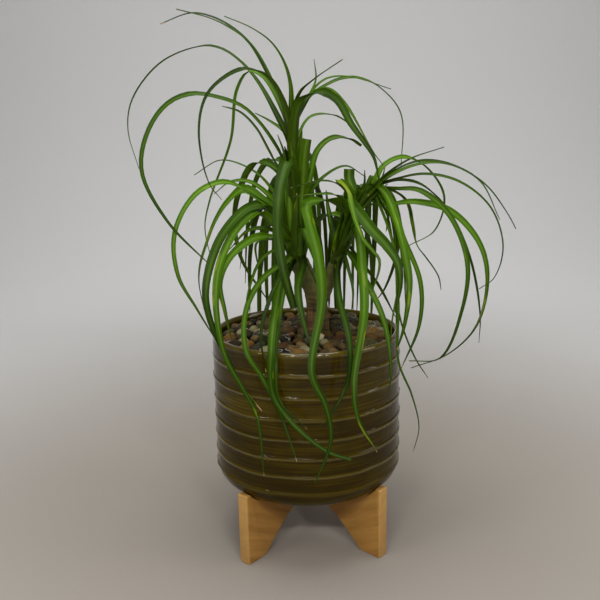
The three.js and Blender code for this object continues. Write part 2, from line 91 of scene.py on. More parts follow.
camera_data = bpy.data.cameras.new("camera")
camera_data.sensor_width = SENSOR
camera_data.lens = FOCAL / PICTURE * SENSOR
camera_data.clip_end = 20
camera = bpy.data.objects.new("camera", camera_data)
turned = Matrix(np.column_stack([view_right, view_up, -ahead]).tolist()).to_4x4()
camera.matrix_world = Matrix.Translation(Vector(EYE * MM)) @ turned
bpy.context.scene.collection.objects.link(camera)
bpy.context.scene.camera = camera
bpy.context.scene.view_settings.view_transform = "Standard"
print(f"camera lens {camera_data.lens:.0f} mm at {np.round(EYE)} mm")

# %% [markdown]
# ## Sums as nodes
#
# Both the materials and the Geometry Nodes below need arithmetic. Written node by node it hides what is
# worked out, so a small class wraps one socket of a tree, and each operator adds the Math node that it
# stands for. Every other node comes from one method, `add`, which takes the node's type, its settings and
# what goes into its sockets. Colours are written as a screen shows them, because that is how one reads
# them off a picture, and `paint` turns them over.

# %% Paint and wires
def paint(red, green, blue):
    """A colour as a screen shows it, 0 to 255, turned into the linear light that shaders count in."""
    shares = [value / 255 for value in (red, green, blue)]
    return (*(((c + 0.055) / 1.055) ** 2.4 if c > 0.04 else c / 12.92 for c in shares), 1)


def operator(operation, turned=False):
    """Adds one Math node; turned round, the wire is the second of the two."""
    def run(wire, other):
        pair = (other, wire) if turned else (wire, other)
        return wire.tree.maths(operation, *pair)
    return run


class Wire:
    def __init__(self, tree, socket):
        self.tree = tree
        self.socket = socket

    __add__, __radd__ = operator("ADD"), operator("ADD", turned=True)
    __sub__, __rsub__ = operator("SUBTRACT"), operator("SUBTRACT", turned=True)
    __mul__ = operator("MULTIPLY")
    __truediv__ = operator("DIVIDE")
    __pow__ = operator("POWER")
    __gt__ = operator("GREATER_THAN")
    __lt__ = operator("LESS_THAN")

    def __abs__(self):
        return self.maths("ABSOLUTE")

    def maths(self, operation, *others):
        return self.tree.maths(operation, self, *others)

    def held(self, low, high):
        return self.maths("MAXIMUM", low).maths("MINIMUM", high)


print("black and white paint:", paint(0, 0, 0), paint(255, 255, 255))

# %% [markdown]
# The tree's other methods are short names for the nodes that this plant needs often: a ramp of paints, a
# blend of two, a bump, and noise that is stretched one way, which makes streaks on the glaze, grain in
# the wood, cracks in the bark and veins on the leaves.

# %% A tree
class Tree:
    def __init__(self, net):
        self.net = net

    def add(self, kind, settings=None, values=None, out=0):
        node = self.net.nodes.new(kind)
        for name, value in (settings or {}).items():
            setattr(node, name, value)
        for key, value in (values or {}).items():
            if isinstance(key, int):
                socket = node.inputs[key]
            else:
                socket = next(s for s in node.inputs if s.name == key and s.enabled)
            if isinstance(value, Wire):
                self.net.links.new(value.socket, socket)
            else:
                socket.default_value = value
        shown = [s for s in node.outputs if s.enabled]
        socket = shown[out] if isinstance(out, int) else next(s for s in shown if s.name == out)
        return Wire(self, socket)

    def maths(self, operation, *values):
        return self.add("ShaderNodeMath", {"operation": operation}, dict(enumerate(values)))

    def vector(self, operation, *values, out=0):
        return self.add("ShaderNodeVectorMath", {"operation": operation}, dict(enumerate(values)), out)

    def scaled(self, vector, factor):
        inputs = {"Vector": vector, "Scale": factor}
        return self.add("ShaderNodeVectorMath", {"operation": "SCALE"}, inputs)

    def combined(self, x, y, z):
        return self.add("ShaderNodeCombineXYZ", None, {"X": x, "Y": y, "Z": z})

    def split(self, vector):
        parts = self.add("ShaderNodeSeparateXYZ", None, {"Vector": vector}).socket.node
        return [Wire(self, socket) for socket in parts.outputs]

    def place(self):
        return self.add("ShaderNodeTexCoord", None, None, "Object")

    def attribute(self, name, out="Fac"):
        return self.add("ShaderNodeAttribute", {"attribute_name": name}, None, out)

    def noise(self, vector, scale, detail=2.0, roughness=0.5):
        inputs = {"Vector": vector, "Scale": scale, "Detail": detail, "Roughness": roughness}
        return self.add("ShaderNodeTexNoise", None, inputs)

    def stretched(self, x, y, z, detail=2.0, roughness=0.5):
        """Noise that changes the faster along an axis, the more that axis is multiplied."""
        return self.noise(self.combined(x, y, z), 1.0, detail, roughness)

    def smooth(self, value, low, high):
        inputs = {"Value": value, "From Min": low, "From Max": high}
        return self.add("ShaderNodeMapRange", {"interpolation_type": "SMOOTHSTEP"}, inputs)

    def ramp(self, factor, stops, interpolation="LINEAR"):
        wire = self.add("ShaderNodeValToRGB", None, {"Fac": factor})
        ramp = wire.socket.node.color_ramp
        ramp.interpolation = interpolation
        while len(ramp.elements) < len(stops):
            ramp.elements.new(0.5)
        for element, (at, color) in zip(ramp.elements, stops):
            element.position = at
            element.color = paint(*color)
        return wire

    def blend(self, factor, *colors):
        first, second = (paint(*color) if isinstance(color, tuple) else color for color in colors)
        inputs = {"Factor": factor, "A": first, "B": second}
        return self.add("ShaderNodeMix", {"data_type": "RGBA"}, inputs)

    def bump(self, height, distance, strength):
        inputs = {"Height": height, "Distance": distance, "Strength": strength}
        return self.add("ShaderNodeBump", None, inputs)


print("a tree can make:", ", ".join(name for name in vars(Tree) if not name.startswith("_")))

# %% [markdown]
# A material's surface is a Principled shader. What stays the same all over sits on its own sockets, and
# what changes from place to place comes in by wire.

# %% Materials
def socket_named(shader, key):
    return shader.inputs[key.replace("_", " ").title().replace("Ior", "IOR")]


def start_material(name, **fixed):
    material = bpy.data.materials.new(name)
    material.use_nodes = True
    shader = material.node_tree.nodes["Principled BSDF"]
    for socket, value in fixed.items():
        socket_named(shader, socket).default_value = value
    return material, Tree(material.node_tree), shader


def feed(tree, shader, **wires):
    for socket, wire in wires.items():
        tree.net.links.new(wire.socket, socket_named(shader, socket))


print("a material takes fixed values first and its wires later")

# %% [markdown]
# ## Geometry Nodes in a script
#
# A tree of Geometry Nodes is made like a material's. Its named inputs are the sizes that a maker would
# want to turn, and the modifier gets their values by each socket's identifier. Every tree ends alike:
# instances made real, smooth shading, paint. When it has done its work, `settle` turns the result into a
# plain mesh and drops the modifier, so that the piece is finished before it is tied to the frame.

# %% Making, running and settling a tree
KINDS = {float: "NodeSocketFloat", int: "NodeSocketInt", bpy.types.Material: "NodeSocketMaterial"}


def stored(tree, geometry, name, value, kind="FLOAT", domain="POINT"):
    settings = {"data_type": kind, "domain": domain}
    inputs = {"Geometry": geometry, "Name": name, "Value": value}
    return tree.add("GeometryNodeStoreNamedAttribute", settings, inputs)


def named(tree, name, kind="FLOAT"):
    return tree.add("GeometryNodeInputNamedAttribute", {"data_type": kind}, {"Name": name})


def moved(tree, geometry, way, distance):
    offset = tree.scaled(way, distance)
    return tree.add("GeometryNodeSetPosition", None, {"Geometry": geometry, "Offset": offset})


def settle(piece):
    graph = bpy.context.evaluated_depsgraph_get()
    mesh = bpy.data.meshes.new_from_object(
        piece.evaluated_get(graph), preserve_all_data_layers=True, depsgraph=graph
    )
    piece.modifiers.clear()
    piece.data = mesh
    mesh.name = piece.name


def shape_by_nodes(piece, name, build, **inputs):
    """Runs the tree that build makes, with a named input for each of the inputs; the last is the paint."""
    group = bpy.data.node_groups.new(name, "GeometryNodeTree")
    for end in ("INPUT", "OUTPUT"):
        group.interface.new_socket("Geometry", in_out=end, socket_type="NodeSocketGeometry")
    identifiers = {}
    for key, value in inputs.items():
        label = key.replace("_", " ").capitalize()
        socket = group.interface.new_socket(label, in_out="INPUT", socket_type=KINDS[type(value)])
        identifiers[key] = socket.identifier
    tree = Tree(group)
    entry = group.nodes.new("NodeGroupInput")
    start, *sizes, paint_on = (Wire(tree, entry.outputs[i]) for i in range(len(inputs) + 1))
    real = tree.add("GeometryNodeRealizeInstances", None, {"Geometry": build(tree, start, *sizes)})
    shaded = tree.add("GeometryNodeSetShadeSmooth", None, {"Geometry": real})
    painted = tree.add("GeometryNodeSetMaterial", None, {"Geometry": shaded, "Material": paint_on})
    group.links.new(painted.socket, group.nodes.new("NodeGroupOutput").inputs[0])
    modifier = piece.modifiers.new(name, "NODES")
    modifier.node_group = group
    for key, value in inputs.items():
        modifier[identifiers[key]] = value
    settle(piece)
    report(piece)


print("modifier inputs can be", ", ".join(kind.__name__ for kind in KINDS))

# %% [markdown]
# Some pieces start as plain points and faces. These helpers take millimetres, build the walls between
# rings of points, and report how many triangles a piece has and what room it fills, which is above
# nothing only if its faces look outwards.

# %% Meshes from points
def put_in_scene(name, data):
    piece = bpy.data.objects.new(name, data)
    bpy.context.scene.collection.objects.link(piece)
    return piece


def mesh_from(name, points, faces=(), edges=()):
    mesh = bpy.data.meshes.new(name)
    mesh.from_pydata([tuple(np.asarray(p) * MM) for p in points], edges, faces)
    mesh.update()
    return put_in_scene(name, mesh)


def turns(sides):
    return [side / sides * 2 * math.pi for side in range(sides)]


def wall_faces(start, rows, sides):
    """Faces between rings of points that follow one another, wound to look outwards."""
    faces = []
    for row in range(rows - 1):
        low, high = start + row * sides, start + (row + 1) * sides
        for side in range(sides):
            beside = (side + 1) % sides
            faces.append((low + side, low + beside, high + beside, high + side))
    return faces


def report(piece):
    mesh = piece.data
    mesh.calc_loop_triangles()
    places = np.empty(len(mesh.vertices) * 3)
    mesh.vertices.foreach_get("co", places)
    corners = np.empty(len(mesh.loop_triangles) * 3, dtype=int)
    mesh.loop_triangles.foreach_get("vertices", corners)
    a, b, c = places.reshape(-1, 3)[corners.reshape(-1, 3)].transpose(1, 0, 2)
    volume = np.einsum("ij,ij->", a, np.cross(b, c)) / 6 / MM**3
    print(f"{piece.name}: {len(mesh.loop_triangles)} triangles, {volume:.0f} cubic mm")


print("a ring of four has walls", wall_faces(0, 2, 4))

# %% [markdown]
# ## Floor and light
#
# The plant stands on a pale studio floor that curves up behind it. One sheet does both: a profile
# that is level, bends and rises, drawn out sideways. Its paint darkens close round the plant, a painted
# shade under the pot and the stand. It is stage, not part of the object.

# %% The floor
FLOOR_WIDTH = 6000
FLOOR_FRONT = -2600
BEND_START = 900
BEND_RADIUS = 900
WALL_TOP = 3200
BEND_STEPS = 24
# Distances in m from the plant over which the painted shade round it fades to the pale paper.
PAINTED_SHADE_NEAR_TO_FAR = (0.15, 1.4)


def make_floor():
    profile = [(FLOOR_FRONT, 0), (BEND_START, 0)]
    for step in range(1, BEND_STEPS + 1):
        angle = step / BEND_STEPS * math.pi / 2
        profile.append((BEND_START + BEND_RADIUS * math.sin(angle), BEND_RADIUS * (1 - math.cos(angle))))
    profile.append((BEND_START + BEND_RADIUS, WALL_TOP))
    points = [(side * FLOOR_WIDTH / 2, y, z) for y, z in profile for side in (-1, 1)]
    faces = [(2 * i, 2 * i + 1, 2 * i + 3, 2 * i + 2) for i in range(len(profile) - 1)]
    floor = mesh_from("studio_floor", points, faces)
    floor.data.shade_smooth()
    material, tree, shader = start_material("studio_paper", roughness=0.9)
    away = tree.vector("LENGTH", tree.place(), out="Value")
    # Painted shade: the paper is painted darker the nearer it lies to the plant.
    tone = tree.blend(tree.smooth(away, *PAINTED_SHADE_NEAR_TO_FAR), (146, 138, 128), (236, 235, 233))
    feed(tree, shader, base_color=tone)
    floor.data.materials.append(material)
    return floor


floor = make_floor()
floor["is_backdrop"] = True
print("floor is", FLOOR_WIDTH / 1000, "m wide")

# %% [markdown]
# A glazed pot shows its light. One large soft box hangs overhead, a tall one stands at the right, narrow
# strips and two small lamps in front draw the white dashes on the ridges, and a pale world fills the
# shadows.

# %% The lights
LIGHTS = {
    # name: (place in mm, width and height in mm, power in W)
    "overhead_box": ((0, -60, 1700), (1100, 800), 18.5),
    "left_lamp": ((-360, -1150, 1000), (80, 80), 2),
    "right_lamp": ((330, -1150, 1080), (80, 80), 2),
    "front_strip": ((0, -1200, 1050), (1300, 25), 8.5),
    "left_strip": ((-1050, -720, 1000), (420, 25), 3.2),
    "side_box": ((1500, -300, 900), (500, 900), 5),
}
LIT_POINT = (0, 0, 230)
WORLD_STRENGTH = 0.12


def add_light(name, place, size, power):
    data = bpy.data.lights.new(name, "AREA")
    data.shape = "RECTANGLE"
    data.size, data.size_y = (side * MM for side in size)
    data.energy = power
    light = bpy.data.objects.new(name, data)
    light.location = Vector(place) * MM
    direction = (Vector(LIT_POINT) - Vector(place)).normalized()
    light.rotation_euler = direction.to_track_quat("-Z", "Y").to_euler()
    bpy.context.scene.collection.objects.link(light)


for name, (place, size, power) in LIGHTS.items():
    add_light(name, place, size, power)

world = bpy.data.worlds.new("studio")
world.use_nodes = True
world.node_tree.nodes["Background"].inputs["Color"].default_value = paint(238, 240, 244)
world.node_tree.nodes["Background"].inputs["Strength"].default_value = WORLD_STRENGTH
bpy.context.scene.world = world
print("lights:", ", ".join(LIGHTS))

# %% [markdown]
# ## The pot
#
# The real pot was thrown on a wheel: fingers left seven ridges round its wall, closer together towards
# the foot. They are uneven: they rise and fall as they go round, with one crest in places and two thinner
# ones in others. The plain wall is turned on its axis here like a lathe turns it. The ridges then come
# from a rule in Geometry Nodes: a ridge stands wherever a height, slightly bent by noise, meets a step of
# the rule, and fine throwing lines run between.

# %% The plain wall
POT_BODY = 100.3
POT_BASE = 67.6
POT_CORNER = 22
POT_RIM = 233
POT_WALL = 6.5
POT_FLOOR = 9
INNER_RADIUS = POT_BODY - POT_WALL
INNER_CORNER = 8
POT_SIDES = 256
CORNER_STEPS = 12
ROW = 0.62
LIP_ROUND = 3.1
LIP_TURN = 0.8 * math.pi
LIP_STEPS = 8
UNDERSIDE_RINGS = (0, 30, 60)
INSIDE_HEIGHTS = (POT_RIM - 5, 220, 205, 150, 100)
INSIDE_FLOOR_RINGS = (40, 0)


def lathe(name, profile, sides):
    """Turns a profile of (radius, height) pairs, whose ends are on the axis, into a closed skin."""
    rings = profile[1:-1]
    points = [(out * math.cos(turn), out * math.sin(turn), z) for out, z in rings for turn in turns(sides)]
    top = len(points) - sides
    low, high = len(points), len(points) + 1
    points += [(0, 0, profile[0][1]), (0, 0, profile[-1][1])]
    faces = wall_faces(0, len(rings), sides)
    for side in range(sides):
        beside = (side + 1) % sides
        faces += [(low, beside, side), (top + side, top + beside, high)]
    return mesh_from(name, points, faces)


def pot_profile():
    """From the middle of the underside out, up the wall, over the lip and down to the inner floor."""
    profile = [(out, POT_BASE) for out in UNDERSIDE_RINGS]
    start = POT_BASE + POT_CORNER
    for step in range(CORNER_STEPS + 1):
        angle = step / CORNER_STEPS * math.pi / 2
        out = POT_BODY - POT_CORNER + POT_CORNER * math.sin(angle)
        profile.append((out, start - POT_CORNER * math.cos(angle)))
    stop = POT_RIM - LIP_ROUND
    rows = round((stop - start) / ROW)
    for row in range(1, rows + 1):
        profile.append((POT_BODY, start + (stop - start) * row / rows))
    for step in range(1, LIP_STEPS + 1):
        angle = step / LIP_STEPS * LIP_TURN
        out = POT_BODY - LIP_ROUND * (1 - math.cos(angle))
        profile.append((out, stop + LIP_ROUND * math.sin(angle)))
    inside_floor = POT_BASE + POT_FLOOR
    profile += [(INNER_RADIUS, height) for height in (*INSIDE_HEIGHTS, inside_floor + INNER_CORNER)]
    return profile + [(out, inside_floor) for out in (INNER_RADIUS - INNER_CORNER, *INSIDE_FLOOR_RINGS)]


pot = lathe("glazed_pot", pot_profile(), POT_SIDES)
report(pot)

# %% [markdown]
# The ridges stand at 88, 105.8, 124.6 and so on up to 209.8 mm: the step between them grows by 1 mm each
# time. Turned round, the rule gives each height its number on the ladder, and a ridge is where that
# number is whole. The relief fades out below the lowest ridge and under the lip, so that the rounded foot
# and the lip stay plain.

# %% The thrown ridges
RIDGE_FIRST = 88
RIDGE_STEP = 17.3
RIDGE_GROWTH = 0.5
RIDGE_COUNT = 7
# How far each crest is shifted from the ridge, in half widths, and how sharp it is: upper, lower, single.
CRESTS = [(-0.8, 1.6), (0.8, 1.6), (0, 1)]
DOUBLED = (0.44, 0.56)
OUTSIDE = POT_BODY - 3.2
RELIEF_STARTS = (0.082, 0.086)
RELIEF_ENDS = (0.2285, 0.231)


def thrown_wall(tree, wall, ridge, half_width, wander, lines):
    x, y, z = tree.split(tree.add("GeometryNodeInputPosition"))
    spoke = tree.combined(x, y, 0)
    outwards = tree.vector("NORMALIZE", spoke)
    slow = tree.noise(outwards, 1.3, 1)
    quick = tree.noise(outwards, 4.5)
    high = z / MM + (slow - 0.5) * wander + (quick - 0.5) * wander * 0.35
    over = (high - RIDGE_FIRST) * 4 * RIDGE_GROWTH + RIDGE_STEP**2
    number = (over.maths("MAXIMUM", 1) ** 0.5 - RIDGE_STEP) / (2 * RIDGE_GROWTH)
    nearest = number.maths("ROUND").held(0, RIDGE_COUNT - 1)
    ridge_height = nearest * nearest * RIDGE_GROWTH + nearest * RIDGE_STEP + RIDGE_FIRST
    away = (high - ridge_height) / half_width
    # Where the finger pressed firmly it left two crests, and elsewhere one.
    own = tree.vector("ADD", outwards, tree.combined(0, 0, nearest * 3))
    press = tree.noise(own, 2.6) + (tree.noise(own, 12.0) - 0.5) * 0.7
    falls = [((away + shift) * sharp).maths("POWER", 2) * -1 for shift, sharp in CRESTS]
    upper, lower, single = (fall.maths("EXPONENT") for fall in falls)
    double = tree.smooth(press, *DOUBLED)
    pair = (upper + lower) * 0.8 + single * 0.2
    relief = (single * (1 - double) + pair * double) * (press * 1.1 + 0.4)
    fine = tree.stretched(x * 9, y * 9, z * 620, 3, 0.6)
    swell = tree.stretched(x * 12, y * 12, z * 60)
    outside = tree.vector("LENGTH", spoke, out="Value") > OUTSIDE * MM
    belt = outside * tree.smooth(z, *RELIEF_STARTS) * (1 - tree.smooth(z, *RELIEF_ENDS))
    out = (relief * ridge + (fine - 0.5) * lines + (swell - 0.5) * lines * 2.4) * belt * MM
    return stored(tree, moved(tree, wall, outwards, out), "crest", single * outside)


ladder = [RIDGE_FIRST + RIDGE_STEP * n + RIDGE_GROWTH * n**2 for n in range(RIDGE_COUNT)]
print("ridges stand at", [round(height, 1) for height in ladder], "mm")

# %% [markdown]
# ### The glaze
#
# The glaze is a glossy olive brown. It runs thin over the ridges, which show lighter, and pools dark
# between them. Throwing lines show through it as fine level streaks, so its colour noise is stretched
# round the pot: it changes fast with height and slowly along the wall. A clear coat on the crests and the
# lip catches the lamps as short white dashes. The underside, which stands in the kiln, stays bare clay.

# %% The glaze material
LIP_THIN = (0.2272, 0.2305)
BARE_CLAY = (0.0678, 0.0690)


def make_glaze():
    material, tree, shader = start_material("olive_glaze", specular_ior_level=0.13, coat_roughness=0.04)
    place = tree.place()
    x, y, z = tree.split(place)
    streaks = tree.stretched(x * 14, y * 14, z * 560, 4, 0.65)
    bands = tree.stretched(x * 7, y * 7, z * 90)
    clouds = tree.noise(place, 11.0, 3)
    body = tree.ramp(streaks * 0.42 + bands * 0.33 + clouds * 0.25, [
        (0.30, (28, 19, 0)), (0.46, (47, 35, 0)), (0.58, (68, 55, 0)), (0.75, (98, 84, 12)),
    ])
    crest = tree.attribute("crest")
    lip = tree.smooth(z, *LIP_THIN)
    thin = tree.blend(crest * 0.35 + lip * 0.3, body, (112, 98, 36))
    bare = 1 - tree.smooth(z, *BARE_CLAY)
    clay = tree.blend(clouds, (150, 122, 92), (176, 150, 116))
    color = tree.blend(bare, thin, clay)
    rough = bare * 0.55 + streaks * 0.08 + 0.05
    coat = tree.smooth(crest, 0.5, 1.0) * (0.5 + streaks) + lip * 0.6
    normal = tree.bump(streaks + bands, 0.0004, 0.35)
    feed(tree, shader, base_color=color, roughness=rough, coat_weight=coat, normal=normal)
    return material


shape_by_nodes(
    pot, "thrown wall", thrown_wall,
    ridge=1.35, half_width=1.6, wander=3.4, lines=0.14, paint_on=make_glaze(),
)

# %% [markdown]
# ## The stand
#
# Two flat boards are halved into each other, each with an arch between two feet and ends that hug the
# pot's rounded edge. A board is one outline, pulled to its thickness. Sanding has taken its sharp edges
# off, which a small bevel does here: an edge that catches the light is what makes wood look like wood.

# %% A board's outline
GAP = 0.3
BOARD_THICKNESS = 13.4
BOARD_HALF = 103
BOARD_TIP = 77
CRADLE_GAP = 0.7
LAP_LEVEL = 55
STAND_TURN = 0.731
SEAT = POT_BASE - GAP
ARCH = {"top": (18, 43), "bend": (40, 38), "spring": (74, 4), "corner": (77, 0.4), "foot": (84, 0)}
CRADLE_STEPS = 12


def curve_through(start, control, end, steps=10):
    """Points along a curve that sets out towards the control point and comes in from it."""
    points = []
    for step in range(1, steps + 1):
        t = step / steps
        first, second, third = (1 - t) ** 2, 2 * t * (1 - t), t * t
        points.append(tuple(first * a + second * b + third * c for a, b, c in zip(start, control, end)))
    return points


def board_outline(lapped_from_above):
    """Half of the side view, from under the arch out and up to the middle of the seat, and its mirror."""
    slot = BOARD_THICKNESS / 2 + GAP
    half = [(slot, LAP_LEVEL + GAP / 2), (slot, ARCH["top"][1])] if not lapped_from_above else []
    half.append(ARCH["top"])
    half += curve_through(ARCH["top"], ARCH["bend"], ARCH["spring"])
    half += curve_through(ARCH["spring"], ARCH["corner"], ARCH["foot"], 4)
    half += [(BOARD_HALF, 0), (BOARD_HALF, BOARD_TIP)]
    cradle = POT_CORNER + CRADLE_GAP
    widest = math.acos((POT_BASE + POT_CORNER - BOARD_TIP) / cradle)
    for step in range(CRADLE_STEPS + 1):
        angle = widest * (1 - step / CRADLE_STEPS)
        across = POT_BODY - POT_CORNER + cradle * math.sin(angle)
        half.append((across, min(BOARD_TIP, POT_BASE + POT_CORNER - cradle * math.cos(angle))))
    if lapped_from_above:
        half += [(slot, SEAT), (slot, LAP_LEVEL - GAP / 2)]
    return half + [(-x, z) for x, z in reversed(half)]


print("a board's outline has", len(board_outline(False)), "corners")

# %% Cutting and sanding a board
SANDED = 1.1
SANDING_STEPS = 3
SANDED_FROM = math.radians(35)
SHARP_FROM = math.radians(38)


def make_board(name, lapped_from_above, turn):
    outline = board_outline(lapped_from_above)
    count = len(outline)
    points = [(x, side * BOARD_THICKNESS / 2, z) for side in (-1, 1) for x, z in outline]
    faces = [tuple(range(count)), tuple(reversed(range(count, 2 * count)))]
    faces += [(i, i + count, (i + 1) % count + count, (i + 1) % count) for i in range(count)]
    board = mesh_from(name, points, faces)
    solid = bmesh.new()
    solid.from_mesh(board.data)
    bmesh.ops.recalc_face_normals(solid, faces=solid.faces)
    solid.to_mesh(board.data)
    solid.free()
    bevel = board.modifiers.new("sanding", "BEVEL")
    bevel.width = SANDED * MM
    bevel.segments = SANDING_STEPS
    bevel.limit_method = "ANGLE"
    bevel.angle_limit = SANDED_FROM
    settle(board)
    keep_board_places(board.data)
    board.data.transform(Matrix.Rotation(turn, 4, "Z"))
    board.data.shade_smooth()
    board.data.set_sharp_from_angle(angle=SHARP_FROM)
    return board


def keep_board_places(mesh):
    """Stores where each corner is on the board before it is turned, so that the grain turns with it."""
    places = np.empty(len(mesh.vertices) * 3)
    mesh.vertices.foreach_get("co", places)
    store = mesh.attributes.new("on_board", "FLOAT_VECTOR", "POINT")
    store.data.foreach_set("vector", places)


print("a board is", 2 * BOARD_HALF, "mm long,", BOARD_TIP, "mm high and", BOARD_THICKNESS, "mm thick")

# %% [markdown]
# ### Light wood
#
# The boards are a pale honey-coloured wood. Its grain runs slanting along a board, so the pattern lives
# in the board's own coordinates: long, slightly wavy year rings, finer fibres over them, and a paler tone
# on the narrow end faces.

# %% The wood material
GRAIN_SLANT = 0.5
END_FACES = (0.1005, 0.1025)


def make_wood(name, seed, slant):
    material, tree, shader = start_material(name, coat_weight=0.12, coat_roughness=0.35)
    x, y, z = tree.split(tree.attribute("on_board", "Vector"))
    along = x * math.cos(slant) + z * math.sin(slant)
    over = z * math.cos(slant) - x * math.sin(slant)
    drift = tree.stretched(along * 6, over * 22, y * 22 + seed)
    rings = tree.stretched(along * 9, over * 150 + drift * 5, y * 90 + seed, 3, 0.55)
    fibre = tree.stretched(along * 60, over * 1500, y * 1500, 2, 0.7)
    pores = tree.smooth(tree.stretched(along * 160, over * 2600, y * 2600, 1), 0.62, 0.74)
    tone = tree.ramp(rings * 0.72 + fibre * 0.28, [
        (0.30, (146, 98, 36)), (0.46, (168, 120, 50)), (0.60, (180, 132, 60)), (0.75, (192, 146, 74)),
    ])
    pale = tree.blend(tree.smooth(abs(x), *END_FACES) * 0.55, tone, (200, 156, 88))
    color = tree.blend(pores * 0.35, pale, (120, 76, 34))
    rough = 0.52 - rings * 0.14 + fibre * 0.1
    normal = tree.bump(fibre - pores * 0.5, 0.0003, 0.4)
    feed(tree, shader, base_color=color, roughness=rough, normal=normal)
    return material


stand_right = make_board("stand_board_front_right", True, -STAND_TURN)
stand_left = make_board("stand_board_front_left", False, math.pi / 2 - STAND_TURN)
for board, seed, slant in ((stand_right, 3.0, GRAIN_SLANT), (stand_left, 8.0, -GRAIN_SLANT)):
    board.data.materials.append(make_wood(f"light_wood_{board.name}", seed, slant))
    report(board)

# %% [markdown]
# ## Soil
#
# Dark potting soil fills the pot under the stones. Only specks of it show between them, so the packed
# solid stays as it is, and a crumbly material with a strong bump does the rest.

# %% The soil material
def make_soil():
    material, tree, shader = start_material("potting_soil", roughness=0.95)
    place = tree.place()
    crumbs = tree.noise(place, 420.0, 4, 0.7)
    lumps = tree.noise(place, 90.0)
    color = tree.ramp(crumbs * 0.6 + lumps * 0.4, [
        (0.32, (22, 16, 11)), (0.55, (48, 35, 25)), (0.75, (84, 64, 46)),
    ])
    feed(tree, shader, base_color=color, normal=tree.bump(crumbs + lumps, 0.002, 0.9))
    return material


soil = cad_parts["soil"]
soil.data.materials.clear()
soil.data.materials.append(make_soil())
print("soil keeps its packed shape")

# %% [markdown]
# ## River pebbles
#
# A layer of mixed river pebbles hides the soil. They are what Geometry Nodes do best: points are strewn
# over a domed bed so that no two are too close, each gets a ball that is squashed, turned and sized by
# chance, and after Realize Instances one noise, shifted by each stone's own numbers, makes no two forms
# alike. A deeper sheet fills the gaps between the upper stones.

# %% The bed
BED_EDGE = 223.5
BED_MIDDLE = 229.5
BED_RINGS = 12
BED_SIDES = 48
SHEETS_SUNK = (0, 6.5)
TRUNK_FOOT = np.array([12.5, 0])
TRUNK_CLEAR = 16
WALL_CLEAR = 7.5


def make_bed():
    """Open domed sheets, round the trunk's foot, that the stones are strewn over; they aren't kept."""
    points, faces = [], []
    for sunk in SHEETS_SUNK:
        start = len(points)
        for ring in range(BED_RINGS + 1):
            for turn in turns(BED_SIDES):
                ray = np.array([math.cos(turn), math.sin(turn)])
                near = TRUNK_FOOT + TRUNK_CLEAR * ray
                x, y = near + ((INNER_RADIUS - WALL_CLEAR) * ray - near) * ring / BED_RINGS
                dome = 1 - (math.hypot(x, y) / INNER_RADIUS) ** 2
                points.append((x, y, BED_EDGE + (BED_MIDDLE - BED_EDGE) * dome - sunk))
        # These rings widen instead of rising, so their faces are wound the other way.
        faces += [(a, d, c, b) for a, b, c, d in wall_faces(start, BED_RINGS + 1, BED_SIDES)]
    return mesh_from("river_pebbles", points, faces)


pebbles = make_bed()
print("the bed has", len(pebbles.data.polygons), "faces")

# %% Strewing the stones
# Stones tried on a square metre, before those that would lie too close are left out.
CROWDING = 60000.0


def strewn_pebbles(tree, bed, spacing, least, most, lumps, seed):
    def chance(kind, low, high, number):
        inputs = {"Min": low, "Max": high, "Seed": seed + number}
        return tree.add("FunctionNodeRandomValue", {"data_type": kind}, inputs)

    strewing = {"Mesh": bed, "Distance Min": spacing, "Density Max": CROWDING, "Seed": seed}
    places = tree.add("GeometryNodeDistributePointsOnFaces", {"distribute_method": "POISSON"}, strewing)
    ball = tree.add("GeometryNodeMeshIcoSphere", None, {"Radius": 1.0, "Subdivisions": 3})
    length = chance("FLOAT", least, most, 1)
    breadth = length * chance("FLOAT", 0.68, 0.95, 2)
    height = length * chance("FLOAT", 0.5, 0.78, 3)
    lean = chance("FLOAT_VECTOR", (-0.5, -0.5, 0.0), (0.5, 0.5, 2 * math.pi), 4)
    own = chance("FLOAT_VECTOR", (0.0, 0.0, 0.0), (1.0, 1.0, 1.0), 5)
    sizes = tree.combined(length, breadth, height)
    laid = {"Points": places, "Instance": ball, "Rotation": lean, "Scale": sizes}
    stones = tree.add("GeometryNodeInstanceOnPoints", None, laid)
    marked = stored(tree, stones, "stone", own, "FLOAT_VECTOR", "INSTANCE")
    real = tree.add("GeometryNodeRealizeInstances", None, {"Geometry": marked})
    place = tree.add("GeometryNodeInputPosition")
    shifted = tree.vector("ADD", place, named(tree, "stone", "FLOAT_VECTOR"))
    wear = (tree.noise(shifted, 95.0, 1) - 0.5) * lumps
    return moved(tree, real, tree.add("GeometryNodeInputNormal"), wear)


print("a stone is tried for every", round(1 / CROWDING / MM**2, 1), "square mm")

# %% [markdown]
# ### Stone
#
# The mix holds cream, tan, golden, rusty, olive, grey and slate stones. Each stone carries three numbers
# of its own: the first picks its kind from a ramp of hard steps, the second shifts its tone, and the
# third says if it has a pale vein. Little light gets down between the stones, so they darken with depth
# under the top of the bed.

# %% The stone material
STONE_KINDS = [
    (0.00, (164, 152, 106)), (0.10, (124, 102, 60)), (0.28, (138, 102, 44)), (0.40, (92, 74, 42)),
    (0.55, (84, 82, 42)), (0.65, (86, 82, 64)), (0.75, (110, 74, 40)), (0.82, (188, 178, 136)),
    (0.88, (100, 82, 50)), (0.94, (46, 44, 36)),
]
# Heights over the bed's dome, in mm, between which a stone goes from dark to fully lit.
DARK_TO_LIT = (-3.5, 5.0)


